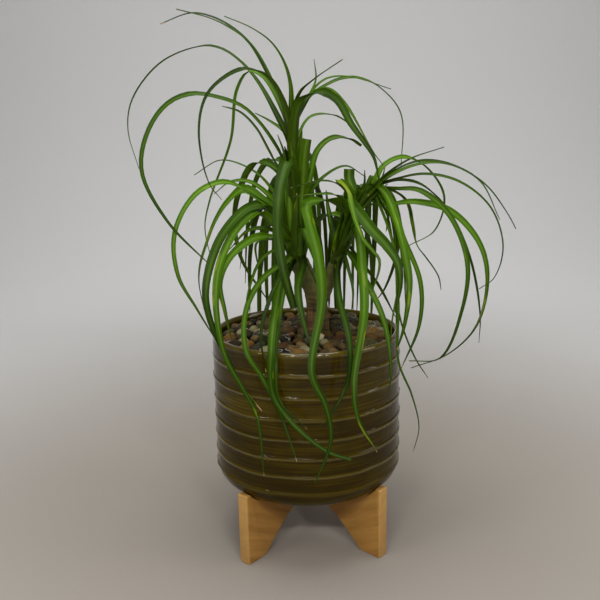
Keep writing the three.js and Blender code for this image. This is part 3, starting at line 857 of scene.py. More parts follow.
def make_stone():
    material, tree, shader = start_material("river_pebble", specular_ior_level=0.12)
    place = tree.place()
    own = tree.attribute("stone", "Vector")
    kind, tone, vein = tree.split(own)
    kinds = tree.ramp(kind, STONE_KINDS, interpolation="CONSTANT")
    shifted = tree.vector("ADD", place, own)
    speckle = tree.noise(shifted, 900.0, 3, 0.7)
    cloud = tree.noise(shifted, 120.0, 3)
    x, y, z = tree.split(place)
    dome = 1 - (x * x + y * y) / (INNER_RADIUS * MM) ** 2
    over = z / MM - BED_EDGE - dome * (BED_MIDDLE - BED_EDGE)
    lit = tree.smooth(over, *DARK_TO_LIT) * 0.92 + 0.02
    light = (tone * 0.6 + 0.08 + cloud * 0.25 + (speckle - 0.5) * 0.5) * lit
    stained = tree.blend(tree.smooth(cloud, 0.5, 0.72) * 0.5, kinds, (128, 96, 48))
    shade = tree.scaled(stained, light)
    line = tree.smooth(abs(tree.noise(shifted, 60.0) - 0.5), 0.012, 0.0)
    color = tree.blend(line * tree.smooth(vein, 0.7, 0.8) * 0.6, shade, (226, 220, 206))
    rough = 0.42 + speckle * 0.3
    feed(tree, shader, base_color=color, roughness=rough, normal=tree.bump(speckle + cloud, 0.0006, 0.5))
    return material


shape_by_nodes(
    pebbles, "strewn pebbles", strewn_pebbles,
    spacing=0.0108, least=0.0057, most=0.0098, lumps=0.0035, seed=11, paint_on=make_stone(),
)

# %% [markdown]
# ## The trunk
#
# The woody trunk comes out of the stones and soon forks: the stout left arm bends back under the tall
# crown, the thin right one leans out under the side crown. Each arm is a row of rings along a smooth line
# through a few stations; the leaves follow lines of the same kind further down. Two round stems pushed
# into each other would show a hard seam at the fork. A voxel remesh melts them into one skin first, as
# growth does, and then Geometry Nodes raise the bark on it.

# %% Smooth lines through a few places
def spline(points, per_span=20):
    """A centripetal Catmull-Rom spline: a smooth line through the points, with no loops at close ones."""
    points = np.asarray(points, dtype=float)
    ends = [2 * points[0] - points[1], *points, 2 * points[-1] - points[-2]]
    line = []
    for p0, p1, p2, p3 in zip(ends, ends[1:], ends[2:], ends[3:]):
        spans = ((p0, p1), (p1, p2), (p2, p3))
        d0, d1, d2 = (max(np.linalg.norm((b - a)[:3]), 1e-4) ** 0.5 for a, b in spans)
        leaving = ((p1 - p0) / d0 - (p2 - p0) / (d0 + d1) + (p2 - p1) / d1) * d1
        coming = ((p2 - p1) / d1 - (p3 - p1) / (d1 + d2) + (p3 - p2) / d2) * d1
        for step in range(per_span):
            t = step / per_span
            line.append(
                (2 * t**3 - 3 * t**2 + 1) * p1 + (t**3 - 2 * t**2 + t) * leaving
                + (3 * t**2 - 2 * t**3) * p2 + (t**3 - t**2) * coming
            )
    line.append(points[-1])
    return np.array(line)


def evenly(line, count):
    """The same line at equal steps along its length, and that length."""
    steps = np.linalg.norm(np.diff(line[:, :3], axis=0), axis=1)
    run = np.concatenate([[0], np.cumsum(steps)])
    places = np.linspace(0, run[-1], count)
    return np.column_stack([np.interp(places, run, column) for column in line.T]), run[-1]


print("a line over a 3 by 4 corner is", round(evenly(spline([(0, 0), (3, 0), (3, 4)]), 9)[1], 2), "long")

# %% The forked stem
# Each station on the plane of the pot's axis: distance to the right, height, radius.
TRUNK = [
    (12, 150, 9), (12.5, 196, 13.4), (13, 224, 13.2), (13, 250, 11.6), (9, 276, 10.8), (0, 292, 10.2),
    (-6, 306, 10),
]
SIDE_BRANCH = [(12, 252, 8), (22, 276, 7.8), (33, 302, 7.3)]
STEM_ROWS = 40
STEM_SIDES = 40
VOXEL = 1.2
CALMING = 6


def stem_rings(stations):
    line = evenly(spline([(x, 0, z, radius) for x, z, radius in stations]), STEM_ROWS)[0]
    along = np.gradient(line[:, :3], axis=0)
    along /= np.linalg.norm(along, axis=1)[:, None]
    rings = []
    for (x, y, z, radius), (dx, _, dz) in zip(line, along):
        for turn in turns(STEM_SIDES):
            out = radius * math.cos(turn)
            rings.append((x + out * dz, y + radius * math.sin(turn), z - out * dx))
    return rings


def make_stem():
    points, faces = [], []
    for stations in (TRUNK, SIDE_BRANCH):
        start = len(points)
        points += stem_rings(stations)
        faces += wall_faces(start, STEM_ROWS, STEM_SIDES)
        faces.append(tuple(reversed(range(start, start + STEM_SIDES))))
        faces.append(tuple(range(len(points) - STEM_SIDES, len(points))))
    stem = mesh_from("trunk_bark", points, faces)
    melt = stem.modifiers.new("melt", "REMESH")
    melt.mode = "VOXEL"
    melt.voxel_size = VOXEL * MM
    calm = stem.modifiers.new("calm", "SMOOTH")
    calm.factor = 0.5
    calm.iterations = CALMING
    settle(stem)
    return stem


trunk = make_stem()
report(trunk)

# %% [markdown]
# ### Bark
#
# Old leaves leave ring scars on a ponytail palm, and the bark between them splits into shallow cracks.
# One noise that is stretched round the stem makes the rings, one stretched along it makes the cracks. The
# same two noises colour it: reddish brown, paler on the raised rings, and turning olive green just under
# the leaves.

# %% The bark
YOUNG_BARK = (0.238, 0.288)


def bark_pattern(tree, x, y, z):
    """Rings round the stem, and cracks along it."""
    return tree.stretched(x * 25, y * 25, z * 330), tree.stretched(x * 420, y * 420, z * 60, 3.0, 0.6)


def raised_bark(tree, stem, ring, crack):
    rings, cracks = bark_pattern(tree, *tree.split(tree.add("GeometryNodeInputPosition")))
    out = ((rings - 0.5) * ring + (cracks - 0.5) * crack) * MM
    return moved(tree, stem, tree.add("GeometryNodeInputNormal"), out)


def make_bark():
    material, tree, shader = start_material("bark")
    x, y, z = tree.split(tree.place())
    rings, cracks = bark_pattern(tree, x, y, z)
    tone = tree.ramp(rings * 0.5 + cracks * 0.5, [
        (0.34, (48, 30, 14)), (0.48, (98, 66, 34)), (0.60, (126, 92, 52)), (0.72, (156, 122, 80)),
    ])
    young = tree.smooth(z + (cracks - 0.5) * 0.03, *YOUNG_BARK)
    color = tree.blend(young * 0.8, tone, (74, 84, 22))
    rough = 0.85 - rings * 0.2
    feed(tree, shader, base_color=color, roughness=rough, normal=tree.bump(cracks + rings, 0.0008, 0.6))
    return material


shape_by_nodes(trunk, "raised bark", raised_bark, ring=1.6, crack=1.2, paint_on=make_bark())

# %% [markdown]
# ## The leaves
#
# A ponytail palm's leaves are straps about 10 mm wide: they clasp the stalk, rise from it, arch over and
# hang, and taper to a thread. What makes this plant *this* plant is where each one goes. So each leaf
# that the photograph shows has a name, its width, how near to the viewer its tip comes, and the places in
# the picture where it passes. The eye's own rays turn these into points in space. The packed model holds
# the same leaves, as plain blades.

# %% The tall crown's leaves
# name: (width seen in mm, nearness of the tip in mm, places in the picture from root to tip)
TALL_LEAVES = {
    "highest_left": (
        3.4, -20, (291, 125), (284, 103), (268, 75), (250, 44), (230, 26), (210, 16), (190, 13),
        (160, 24),
    ),
    "highest_left_thin": (2.4, 30, (291, 122), (272, 80), (252, 45), (232, 29), (210, 18), (176, 9)),
    "high_left_thread": (2.4, 55, (292, 118), (290, 83), (283, 60), (270, 41), (250, 27), (224, 16)),
    "furthest_left": (
        5.4, -98, (291, 140), (278, 118), (258, 82), (240, 61), (220, 48), (200, 46), (160, 63),
        (132, 100), (128, 130), (139, 169),
    ),
    "high_left_broad": (
        7.6, 85, (292, 128), (280, 95), (268, 77), (256, 70), (238, 70), (208, 93), (199, 130),
        (209, 183), (222, 200),
    ),
    "high_left_pale": (
        4.6, -60, (292, 126), (276, 96), (262, 76), (249, 71), (237, 90), (231, 140), (210, 200),
        (205, 228), (213, 266),
    ),
    "great_left_arch": (
        11, 62, (295, 182), (284, 162), (272, 140), (258, 121), (243, 107), (220, 98), (190, 94),
        (166, 105), (147, 134), (142, 172), (168, 222), (213, 268),
    ),
    "great_left_shadow": (
        9.5, 30, (295, 190), (279, 170), (268, 149), (256, 128), (240, 112), (222, 106),
    ),
    "short_left": (3.4, -35, (293, 142), (285, 133), (268, 120), (255, 113)),
    "great_right_arch": (
        13, 60, (294, 134), (297, 110), (304, 98), (322, 92), (337, 100), (351, 124), (364, 142),
        (374, 158), (379, 181),
    ),
    "right_arch_pair": (
        4.6, 28, (293, 130), (299, 107), (312, 94), (328, 90), (344, 103), (374, 153), (384, 166),
    ),
    "far_right_arch": (
        3.4, -62, (293, 124), (307, 100), (317, 91), (340, 79), (360, 78), (381, 88), (401, 114),
        (401, 170),
    ),
    "far_right_thread": (2.4, -35, (293, 122), (313, 90), (328, 78), (352, 77), (391, 89)),
    "upright_pale": (2.8, 30, (292, 120), (300, 93), (314, 79), (343, 59)),
    "upright_thread": (2.4, -25, (293, 124), (310, 95), (316, 79), (314, 59)),
    "inner_right_arch": (3.4, -72, (295, 165), (301, 130), (312, 116), (334, 115), (353, 126)),
    "bright_right_arch": (
        8.5, -50, (297, 216), (309, 182), (318, 150), (332, 138), (350, 139), (361, 146),
    ),
    "standing_front": (11, 22, (297, 222), (303, 180), (305, 152), (307, 139)),
    "falling_front": (
        13.5, 118, (297, 200), (293, 172), (288, 161), (282, 178), (278, 210), (278, 235), (284, 272),
        (294, 308),
    ),
    "low_right_arch": (5.4, -28, (297, 228), (310, 195), (325, 176), (346, 166), (366, 177)),
    "left_thread": (3, -52, (296, 216), (276, 196), (255, 172), (221, 160), (194, 175)),
    "outer_left_fall": (
        7, 70, (297, 230), (275, 212), (247, 191), (223, 182), (196, 194), (175, 232), (178, 275),
        (197, 309), (219, 345),
    ),
    "left_fall_shadow": (5.4, -30, (297, 224), (275, 203), (250, 182), (230, 182), (214, 194)),
    "left_fall_behind": (
        10, -30, (297, 220), (262, 200), (244, 189), (227, 203), (215, 222), (206, 246), (200, 266),
        (199, 284), (204, 309),
    ),
    "left_rim_wrap": (
        10, 97, (298, 236), (265, 206), (248, 208), (221, 238), (206, 288), (210, 319), (227, 357),
        (242, 387), (262, 411),
    ),
    "left_rim_long": (
        8.4, 118, (298, 240), (259, 212), (239, 226), (221, 261), (216, 300), (225, 355), (242, 387),
        (257, 416), (264, 476),
    ),
    "left_over_rim": (
        8.4, 86, (298, 244), (275, 237), (255, 238), (231, 256), (220, 282), (225, 311), (232, 341),
    ),
    "dark_left_loop": (
        7.4, -66, (296, 200), (283, 178), (271, 165), (260, 162), (250, 168), (242, 184), (235, 213),
        (241, 257), (271, 305),
    ),
    "dark_left_thread": (3.8, -45, (297, 234), (262, 208), (251, 223), (244, 240), (240, 269)),
    "pale_left_short": (4.6, -22, (298, 246), (275, 232), (250, 230), (229, 250)),
    "front_left_long": (
        6.6, 112, (298, 254), (285, 262), (262, 280), (247, 308), (246, 350), (262, 377), (279, 411),
        (290, 441), (297, 462),
    ),
    "front_left_inner": (5.4, 108, (298, 256), (282, 275), (268, 305), (261, 336), (266, 372)),
    "front_sweep": (
        9, 126, (298, 250), (287, 262), (278, 295), (271, 350), (273, 394), (291, 422), (326, 451),
        (351, 460),
    ),
    "front_sweep_pair": (
        5.4, 116, (298, 253), (288, 275), (279, 320), (276, 365), (280, 401), (307, 429),
    ),
    "small_left": (4.2, -34, (298, 250), (276, 240), (257, 243), (260, 275)),
    "small_left_front": (4.2, 55, (298, 252), (276, 250), (260, 262), (248, 295), (245, 320)),
    "centre_front": (9.2, 106, (299, 254), (303, 262), (298, 290), (305, 328), (312, 350)),
    "centre_thread": (2.4, 96, (300, 252), (314, 278), (325, 312), (331, 349)),
    "bright_front": (9.4, 84, (298, 236), (303, 228), (309, 240), (318, 266), (322, 296), (321, 325)),
}

print(len(TALL_LEAVES), "leaves of the tall crown are seen")

# %% The side crown's leaves
# name: (width seen in mm, nearness of the tip in mm, places in the picture from root to tip)
SIDE_LEAVES = {
    "long_front": (
        11, 152, (354, 212), (338, 203), (320, 200), (307, 204), (309, 220), (318, 255), (322, 300),
        (312, 374), (326, 406), (331, 440), (315, 484),
    ),
    "left_thread_high": (2.8, 74, (358, 205), (338, 184), (318, 181), (291, 188)),
    "left_thread_low": (3.2, 64, (354, 212), (338, 196), (318, 194), (293, 197)),
    "dark_front": (7.4, 118, (339, 256), (337, 270), (339, 298), (350, 345), (347, 384), (323, 429)),
    "small_dark": (4.2, 62, (342, 248), (348, 268), (353, 292), (351, 316)),
    "broad_front": (
        9.8, 138, (350, 222), (358, 234), (362, 268), (364, 312), (354, 385), (358, 418), (377, 452),
    ),
    "right_front": (7.4, 112, (341, 250), (349, 254), (362, 275), (384, 322), (391, 374), (388, 394)),
    "thread_crossing": (4.8, -42, (344, 240), (364, 266), (380, 288), (396, 318)),
    "thread_back": (5.6, -62, (374, 186), (392, 212), (398, 245), (385, 288), (374, 303)),
    "thread_front": (3.2, 88, (374, 187), (394, 222), (402, 262), (392, 322), (389, 381)),
    "broad_fold": (
        13, 80, (362, 199), (350, 194), (349, 200), (358, 212), (372, 230), (386, 245), (397, 262),
        (400, 282), (395, 313),
    ),
    "striped_fold": (
        11, 104, (360, 204), (348, 189), (338, 180), (343, 184), (349, 193), (351, 203), (354, 215),
        (358, 228), (363, 239), (372, 250), (379, 259), (379, 270), (371, 294),
    ),
    "standing_back": (12, -22, (356, 208), (352, 190), (349, 178), (349, 169)),
    "pale_right": (
        9.5, 80, (370, 184), (376, 185), (384, 192), (390, 203), (395, 217), (400, 233), (405, 255),
        (409, 280), (408, 302), (404, 327), (397, 350),
    ),
    "right_loop": (
        5.8, -52, (375, 185), (383, 167), (403, 157), (425, 166), (444, 197), (434, 231), (408, 246),
    ),
    "right_thread": (2.4, -34, (376, 184), (390, 172), (412, 158), (444, 147)),
    "furthest_right": (
        3, 100, (376, 185), (390, 173), (420, 161), (450, 164), (485, 184), (508, 214), (516, 229),
    ),
    "far_right_behind": (3, 14, (376, 185), (392, 175), (420, 164), (448, 164), (480, 181), (500, 220)),
    "far_right_sweep": (
        3.8, 36, (376, 184), (395, 179), (425, 174), (460, 182), (491, 208), (503, 247), (494, 278),
        (479, 289),
    ),
    "right_fall": (
        7.4, 55, (374, 187), (396, 189), (420, 191), (449, 215), (467, 262), (462, 309), (440, 358),
        (409, 361),
    ),
    "right_fall_behind": (
        4.8, -56, (375, 186), (400, 180), (424, 186), (449, 212), (471, 262), (480, 315), (479, 343),
    ),
    "low_right_fall": (
        7, 20, (364, 196), (382, 205), (415, 202), (450, 211), (479, 243), (487, 278), (476, 326),
        (448, 354), (411, 368),
    ),
    "yellow_right": (
        7.5, -28, (374, 187), (391, 190), (402, 196), (408, 205), (412, 224), (417, 245), (425, 256),
        (435, 270), (439, 278), (441, 290),
    ),
    "right_rim_fall": (6.4, 42, (373, 188), (390, 204), (403, 238), (420, 282), (419, 325), (401, 369)),
    "right_rim_tip": (4.4, -12, (372, 189), (387, 215), (395, 262), (399, 315), (414, 356), (428, 378)),
    "right_below_rim": (
        3.6, 62, (373, 189), (393, 245), (398, 305), (398, 360), (412, 396), (419, 428), (413, 452),
    ),
    "dark_back_fall": (6.2, -40, (370, 190), (384, 200), (388, 216), (386, 232)),
    "dark_back_rise": (9, -48, (340, 252), (335, 240), (328, 208), (326, 190)),
}

print(len(SIDE_LEAVES), "leaves of the side crown are seen")

# %% What is special about some of them
KINKED = {
    # name: share of the way along it where a leaf is folded sharply, and yellowed
    "yellow_right": 0.6, "striped_fold": 0.42,
}
# Leaves painted duller and darker: partly their own colour, partly painted shade where they lie in shadow.
DULL_AND_SHADED = (
    "broad_fold", "falling_front", "left_rim_wrap", "dark_left_loop", "dark_front", "great_right_arch",
    "centre_front",
)
SLIM = {
    # name: share of its width that a leaf keeps where it arches
    "great_left_arch": 0.6, "great_left_shadow": 0.85, "striped_fold": 0.6, "great_right_arch": 0.75,
    "high_left_broad": 0.55, "furthest_left": 0.7, "outer_left_fall": 0.85,
    "high_left_pale": 0.8, "right_fall": 0.8, "far_right_sweep": 0.8, "right_loop": 0.8,
}
BLUNT = {
    # name: share of its width at the tip
    "standing_front": 0.9, "standing_back": 0.95, "front_sweep": 0.35, "bright_right_arch": 0.6,
    "inner_right_arch": 0.6, "falling_front": 0.5,
}
# Leaves painted brighter: partly their own paler colour, partly painted light where light falls on them.
BRIGHT_AND_LIT = (
    "bright_front", "bright_right_arch", "standing_back", "standing_front", "broad_front", "pale_right",
    "high_left_pale", "pale_left_short", "left_over_rim", "right_loop", "left_fall_behind",
    "striped_fold", "long_front",
)
print(len(KINKED), "leaves are folded,", len(BRIGHT_AND_LIT), "brighter and", len(DULL_AND_SHADED), "duller than the rest")

# %% [markdown]
# The leaves grow from two stalks, which carry on from the trunk's two arms. A place in the picture is a
# ray from the eye, and a nearness says where on that ray a point lies. A leaf starts on the plane of the
# pot's axis and nears the viewer, or draws away, fast at first and then ever more slowly. Where that
# would take it through the pot, it passes in front of it or behind it.

# %% The stalks, and places in the picture turned into points in space
# Each station on the plane of the pot's axis: distance to the right, height, radius.
TALL_STALK = [
    (-6.2, 304.4, 9.4), (-9.2, 313.4, 9.8), (-9, 334, 10.4), (-8.5, 366, 9.2), (-8.2, 386, 7.2),
    (-8.6, 408, 5.6), (-10, 432, 4.2), (-11, 456, 2),
]
SIDE_STALK = [(32.4, 300.4, 7), (40.5, 322.5, 6), (49, 352, 5.6), (61, 371, 5.4), (77, 388, 3)]
LEAF_CLEARANCE = 7
RIM_CLEARANCE = 10
RIDGE_RADIUS = 101.5


def seen_at(x, y, near):
    """The point that a place in the picture shows, so many mm nearer to the viewer than the axis."""
    ray = ahead + view_right * (x - PICTURE / 2) / FOCAL + view_up * (PICTURE / 2 - y) / FOCAL
    return EYE + ray * (-near - EYE[1]) / ray[1]


def inside_pot(point):
    x, y, z = point
    return z < POT_RIM + RIM_CLEARANCE and math.hypot(x, y) < RIDGE_RADIUS + LEAF_CLEARANCE


def seen_route(near_tip, places):
    steps = [math.dist(a, b) for a, b in zip(places, places[1:])]
    route = []
    for i, (x, y) in enumerate(places):
        share = sum(steps[:i]) / sum(steps)
        near = near_tip * (1 - (1 - share) ** 2)
        while inside_pot(seen_at(x, y, near)):
            near += -1 if near_tip < 0 else 1
        route.append(seen_at(x, y, near))
    return route


def on_stalk(stalk, height):
    """Middle and radius of a stalk at a height."""
    heights = [z for _, z, _ in stalk]
    x, radius = (np.interp(height, heights, [station[i] for station in stalk]) for i in (0, 2))
    return np.array([x, 0, height]), radius


centre = seen_at(PICTURE / 2, PICTURE / 2, 0)
print("the middle of the picture, on the plane of the axis, is at", np.round(centre), "mm")

# %% [markdown]
# The photograph can't show the leaves behind the stalks, but a plant has them all round. They follow a
# rule: roots step up the stalk, headings turn by the golden ratio over the back, and each leaf reaches,
# rises and drops by chance. A leaf on the way through the pot is pushed back until it is clear of it.

# %% The leaves at the back
BACK_LEAVES = {
    # name: (count, lowest and highest root in mm, first and last heading in half turns, seed)
    "tall": (14, 328, 408, 0.34, 0.72, 36),
    "side": (11, 330, 380, 0.28, 0.66, 105),
}
BACK_PLACES = (0, 0.12, 0.3, 0.52, 0.76, 1)
GOLDEN = 0.618
# In mm: the least, and how much chance may add.
REACH = (98, 62)
RISE = (16, 26)
DROP = 60
DROP_FROM = 250
BEND = 0.35


def seeded(state):
    """Repeats the same run of numbers from 0 to 1 for the same seed."""
    while True:
        state = state * 16807 % 2147483647
        yield state / 2147483647


def back_routes(stalk, count, lowest, highest, first, last, seed):
    draw = seeded(seed)
    routes = []
    for k in range(count):
        height = lowest + (highest - lowest) * (k + next(draw)) / count
        root = on_stalk(stalk, height)[0]
        heading = math.pi * (first + (last - first) * ((k * GOLDEN + 0.2 * next(draw)) % 1))
        reach, rise = (least + more * next(draw) for least, more in (REACH, RISE))
        drop = DROP + (height - DROP_FROM) * (0.45 + 0.75 * next(draw))
        bend = BEND * (next(draw) - 0.5)
        route = []
        for t in BACK_PLACES:
            away = reach * (1 - (1 - t) ** 1.8)
            turned = heading + bend * t
            up = 4 * rise * t * (1 - t) - drop * t * t
            point = root + (away * math.cos(turned), away * math.sin(turned), up)
            while inside_pot(point):
                point[1] += 1
            route.append(point)
        routes.append(route)
    return routes


print("a back leaf reaches", REACH[0], "to", sum(REACH), "mm from its root")

# %% [markdown]
# ### From route to blade
#
# A route becomes a row of stations. Each holds the leaf's middle, the direction across it, the direction
# its upper face looks, and half its width. A leaf that rises starts on the outside of the stalk and
# clasps it, so near its root it is wide and cupped. Further out it flattens, twists a little and leans
# its face towards the viewer as it arches sideways.

# %% Turning a blade
UP = np.array([0, 0, 1.0])
CLASP_LENGTH = 26
CLASP_TOP = 4
CLASP_DEPTH = 0.7
CLASP_LIFT = 0.6
# A leaf's first heading is taken over so many points of its line. The leaf rises if so much of it is up.
AHEAD = 24
RISES = 0.3
# A blade that is seen nearly end on can't be turned to show more.
END_ON = 0.2
# How strongly the upper face leans towards the viewer, the more so the more the leaf arches sideways.
LEAN = 0.4
LEAN_TIMES = 3


def unit(vector):
    return vector / max(np.linalg.norm(vector), 1e-9)


def square_to(along, vector):
    """The direction of what is left of a vector when its share along a line is taken away."""
    return unit(vector - along * np.dot(vector, along))


def turned_about(vector, axis, angle):
    return (vector * math.cos(angle) + np.cross(axis, vector) * math.sin(angle)
            + axis * np.dot(axis, vector) * (1 - math.cos(angle)))


def clasped(route, stalk):
    """A rising leaf's route from the stalk's surface, and the way it leaves; others stay as they are."""
    first = unit(spline(route)[AHEAD] - route[0])
    if first[2] < RISES:
        return route, None
    outward = unit(first * (1, 1, 0))
    low, low_radius = on_stalk(stalk, route[0][2] - CLASP_LENGTH)
    high, radius = on_stalk(stalk, route[0][2] - CLASP_TOP)
    foot = low + outward * low_radius * CLASP_DEPTH
    return [foot, high + outward * (radius + CLASP_LIFT), *route[1:]], outward


def shown(across, along, middle, sideways, wanted):
    """Turns a blade about its line until it shows the eye the wanted share of its width."""
    facing = np.cross(unit(middle - EYE), along)
    if np.linalg.norm(facing) < END_ON:
        return across
    facing = unit(facing)
    share = np.dot(across, facing)
    if abs(share) >= wanted:
        return across
    edge = np.cross(facing, along)
    asked = max(-wanted, min(wanted, LEAN_TIMES * (share + LEAN * sideways**2)))
    rest = math.copysign(math.sqrt(1 - asked**2), np.dot(across, edge))
    return asked * facing + rest * edge


print("a rising leaf clasps its stalk from", CLASP_LENGTH, "mm below its root")

# %% Stations of a leaf
STATIONS = 52
FLARE_LENGTH = 62
FLARE_MOST = 11.5
FLARE_TIMES = 2.4
TIP_SHARE = 0.07
THREAD_SEEN = 2.4
THREAD_SAVING = 0.9
FREE_FROM_STALK = 80
CUP = 0.34
CUP_MORE = 0.3
CUP_LENGTH = 45
FOLD_LENGTH = 0.07
FOLD_PINCH = 0.6
TWIST = 0.6
TWIST_LENGTH = 55
RIPPLE = 0.04
RIPPLE_LENGTH = 17


def leaf_stations(route, seen, stalk, chance, end=None, slim=1.0, kink=None, pull=None, sheath=False):
    root = route[0]
    flat = [(point - root) * (1, 1, 0) for point in route]
    out = unit(max(flat, key=np.linalg.norm))
    sideways = abs(out[0])
    # Blur makes a thread look wider than it is, and a leaf that arches sideways hides some of its width.
    seen -= THREAD_SAVING * math.exp((THREAD_SEEN - seen) / 1.5)
    width = seen + 2.5 * (1 - seen / 12) * sideways
    route, outward = (route, out) if sheath else clasped(route, stalk)
    line, length = evenly(spline(route), STATIONS)
    base = max(width, min(FLARE_MOST, width * FLARE_TIMES)) if outward is not None else width
    if outward is None or np.dot(outward, out) < -0.2:
        outward = out
    tone, dry, twist, phase = (next(chance) for _ in range(4))
    tone = tone if pull is None else 0.3 * tone + 0.7 * pull
    dry *= end is None
    rows = []
    for i, (middle, along) in enumerate(zip(line, np.gradient(line, axis=0))):
        share = i / (STATIONS - 1)
        run = share * length
        away = min(1, run / FREE_FROM_STALK)
        free = 0 if sheath else away**2 * (3 - 2 * away)
        along = unit(along)
        across = square_to(along, np.cross(unit(outward * (1 - free) + out * free), UP))
        turned = shown(across, along, middle, sideways, seen / width * 0.97)
        across = square_to(along, unit(across * (1 - free) + turned * free))
        swing = TWIST * (twist - 0.5) * math.sin(run / TWIST_LENGTH + phase * 6) * free
        across = turned_about(across, along, swing)
        if end:
            taper = 1 - (1 - end) * share**1.5
        else:
            taper = TIP_SHARE + (1 - TIP_SHARE) * (1 - share**2.2) ** 0.85
        near_root = math.exp(-((run / FLARE_LENGTH) ** 2))
        taper *= slim + (1 - slim) * near_root
        fold = math.exp(-(((share - kink) / FOLD_LENGTH) ** 2)) if kink else 0.0
        half = (width * taper * (1 - FOLD_PINCH * fold) + (base - width) * near_root) / 2
        half *= 1 + RIPPLE * math.sin(run / RIPPLE_LENGTH + phase * 9)
        cup = CUP + CUP_MORE * math.exp(-run / CUP_LENGTH)
        top = np.cross(across, along)
        rows.append((middle, across, top, half, cup, run, share, tone, dry, 0.0, fold))
    return rows


print("a leaf has", STATIONS, "stations and its tip keeps", TIP_SHARE, "of its width")

# %% [markdown]
# The stalks themselves are hidden by short leaf bases that hug them all round, each a golden turn on from
# the last. A stalk is a strand like a leaf, but marked as round.

# %% Leaf bases and stalks
SHEATH_WIDTH = 13
# How far a leaf base has risen, and how far it is off the stalk there, in mm.
SHEATH_LINE = [(0, -3), (12, 0.6), (30, 2.4), (48, 5.5), (64, 11)]
# name: (count, lowest and highest foot in mm)
SHEATHS = {"tall": (20, 306, 380), "side": (11, 304, 338)}
GOLDEN_TURN = math.pi * (3 - math.sqrt(5))


def sheath_routes(stalk, count, lowest, highest):
    routes = []
    for k in range(count):
        outward = np.array([math.cos(k * GOLDEN_TURN), math.sin(k * GOLDEN_TURN), 0])
        foot = lowest + (highest - lowest) * k / (count - 1)
        route = []
        for rise, off in SHEATH_LINE:
            middle, radius = on_stalk(stalk, foot + rise)
            route.append(middle + outward * (radius + off))
        routes.append(route)
    return routes


def stalk_stations(stalk):
    line, length = evenly(spline([(x, 0, z, radius) for x, z, radius in stalk]), STATIONS)
    aside = np.cross(UP, (0, 1, 0))
    rows = []
    for i, (station, along) in enumerate(zip(line, np.gradient(line[:, :3], axis=0))):
        share = i / (STATIONS - 1)
        along = unit(along)
        across = square_to(along, aside)
        values = (station[3], 0.0, share * length, share * 0.2, 0.2, 0.0, 1.0, 0.0)
        rows.append((station[:3], across, np.cross(across, along), *values))
    return rows


print("leaf bases:", ", ".join(f"{count[0]} on the {crown} stalk" for crown, count in SHEATHS.items()))

# %% [markdown]
# All strands of a crown become one mesh of bare lines whose points carry these values as attributes.
# Geometry Nodes then draw a section along every line at once. The section is a ring of points that each
# know their angle: its cosine says how far across the leaf a point lies, its sine whether it is on the
# upper or the lower skin. Set Position sends it there: across the leaf, up its cupped channel, and out to
# the thickness.

# %% Strap leaves by Geometry Nodes
CHANNEL_MIDDLE = 0.33
EDGE_ROUND = 1.15


def strap_leaves(tree, lines, thickness, facets):
    middles = stored(tree, lines, "middle", tree.add("GeometryNodeInputPosition"), "FLOAT_VECTOR")
    strands = tree.add("GeometryNodeMeshToCurve", None, {"Mesh": middles})
    circle = {"Resolution": facets, "Radius": MM}
    ring = tree.add("GeometryNodeCurvePrimitiveCircle", {"mode": "RADIUS"}, circle)
    section = stored(tree, ring, "angle", tree.add("GeometryNodeInputIndex") * (-2 * math.pi) / facets)
    drawn = {"Curve": strands, "Profile Curve": section, "Fill Caps": True}
    skin = tree.add("GeometryNodeCurveToMesh", None, drawn)
    side = named(tree, "angle").maths("COSINE")
    face = named(tree, "angle").maths("SINE")
    marked = stored(tree, stored(tree, skin, "side", side), "face", face)
    half, cup, round_stem = (named(tree, value) for value in ("half", "cup", "round"))
    across, top, middle = (named(tree, vector, "FLOAT_VECTOR") for vector in ("across", "top", "middle"))
    channel = cup * half * (side * side - CHANNEL_MIDDLE)
    blade = channel + face * thickness / 2 * (EDGE_ROUND - side * side)
    up = blade * (1 - round_stem) + face * half * round_stem
    offset = tree.vector("ADD", tree.scaled(across, side * half), tree.scaled(top, up))
    place = tree.vector("ADD", middle, offset)
    return tree.add("GeometryNodeSetPosition", None, {"Geometry": marked, "Position": place})


print("a blade's middle is", EDGE_ROUND, "times its named thickness, and it thins towards its edges")

# %% Lines that carry the stations
VALUES = ("half", "cup", "run", "share", "tone", "dry", "round", "fold")
LENGTHS = ("half", "run")


def make_lines(name, strands):
    rows = [row for strand in strands for row in strand]
    starts = range(0, len(rows), STATIONS)
    edges = [(start + i, start + i + 1) for start in starts for i in range(STATIONS - 1)]
    lines = mesh_from(name, [row[0] for row in rows], edges=edges)
    for column, vector in enumerate(("across", "top"), start=1):
        store = lines.data.attributes.new(vector, "FLOAT_VECTOR", "POINT")
        store.data.foreach_set("vector", np.array([row[column] for row in rows]).ravel())
    for column, value in enumerate(VALUES, start=3):
        store = lines.data.attributes.new(value, "FLOAT", "POINT")
        scale = MM if value in LENGTHS else 1
        store.data.foreach_set("value", np.array([row[column] for row in rows]) * scale)
    return lines


print("each station carries", ", ".join(VALUES))

# %% [markdown]
# ### Leaf green
#
# A leaf is olive where it clasps the stalk, brightest a quarter of the way along, darker again towards
# its tip, and often dry and straw-coloured at the very end. Fine veins run its whole length, so the vein
# noise uses the leaf's own coordinates: it changes fast across and barely along. Each leaf has a tone of
# its own, which for the leaves listed as bright also carries painted light, and for those listed as dull
# painted shade. A pale sheen, a painted highlight, runs down each leaf's middle; a leaf has a duller
# underside, and yellow where it is folded. Leaves deep in the heart of the crowns and low down are painted
# darker, as painted shade.

# %% The leaf material
HEART = (0.012, 0, 0.315)
HEART_SIZE = (0.085, 0.05, 0.075)
LOW_DOWN = (0.17, 0.36)


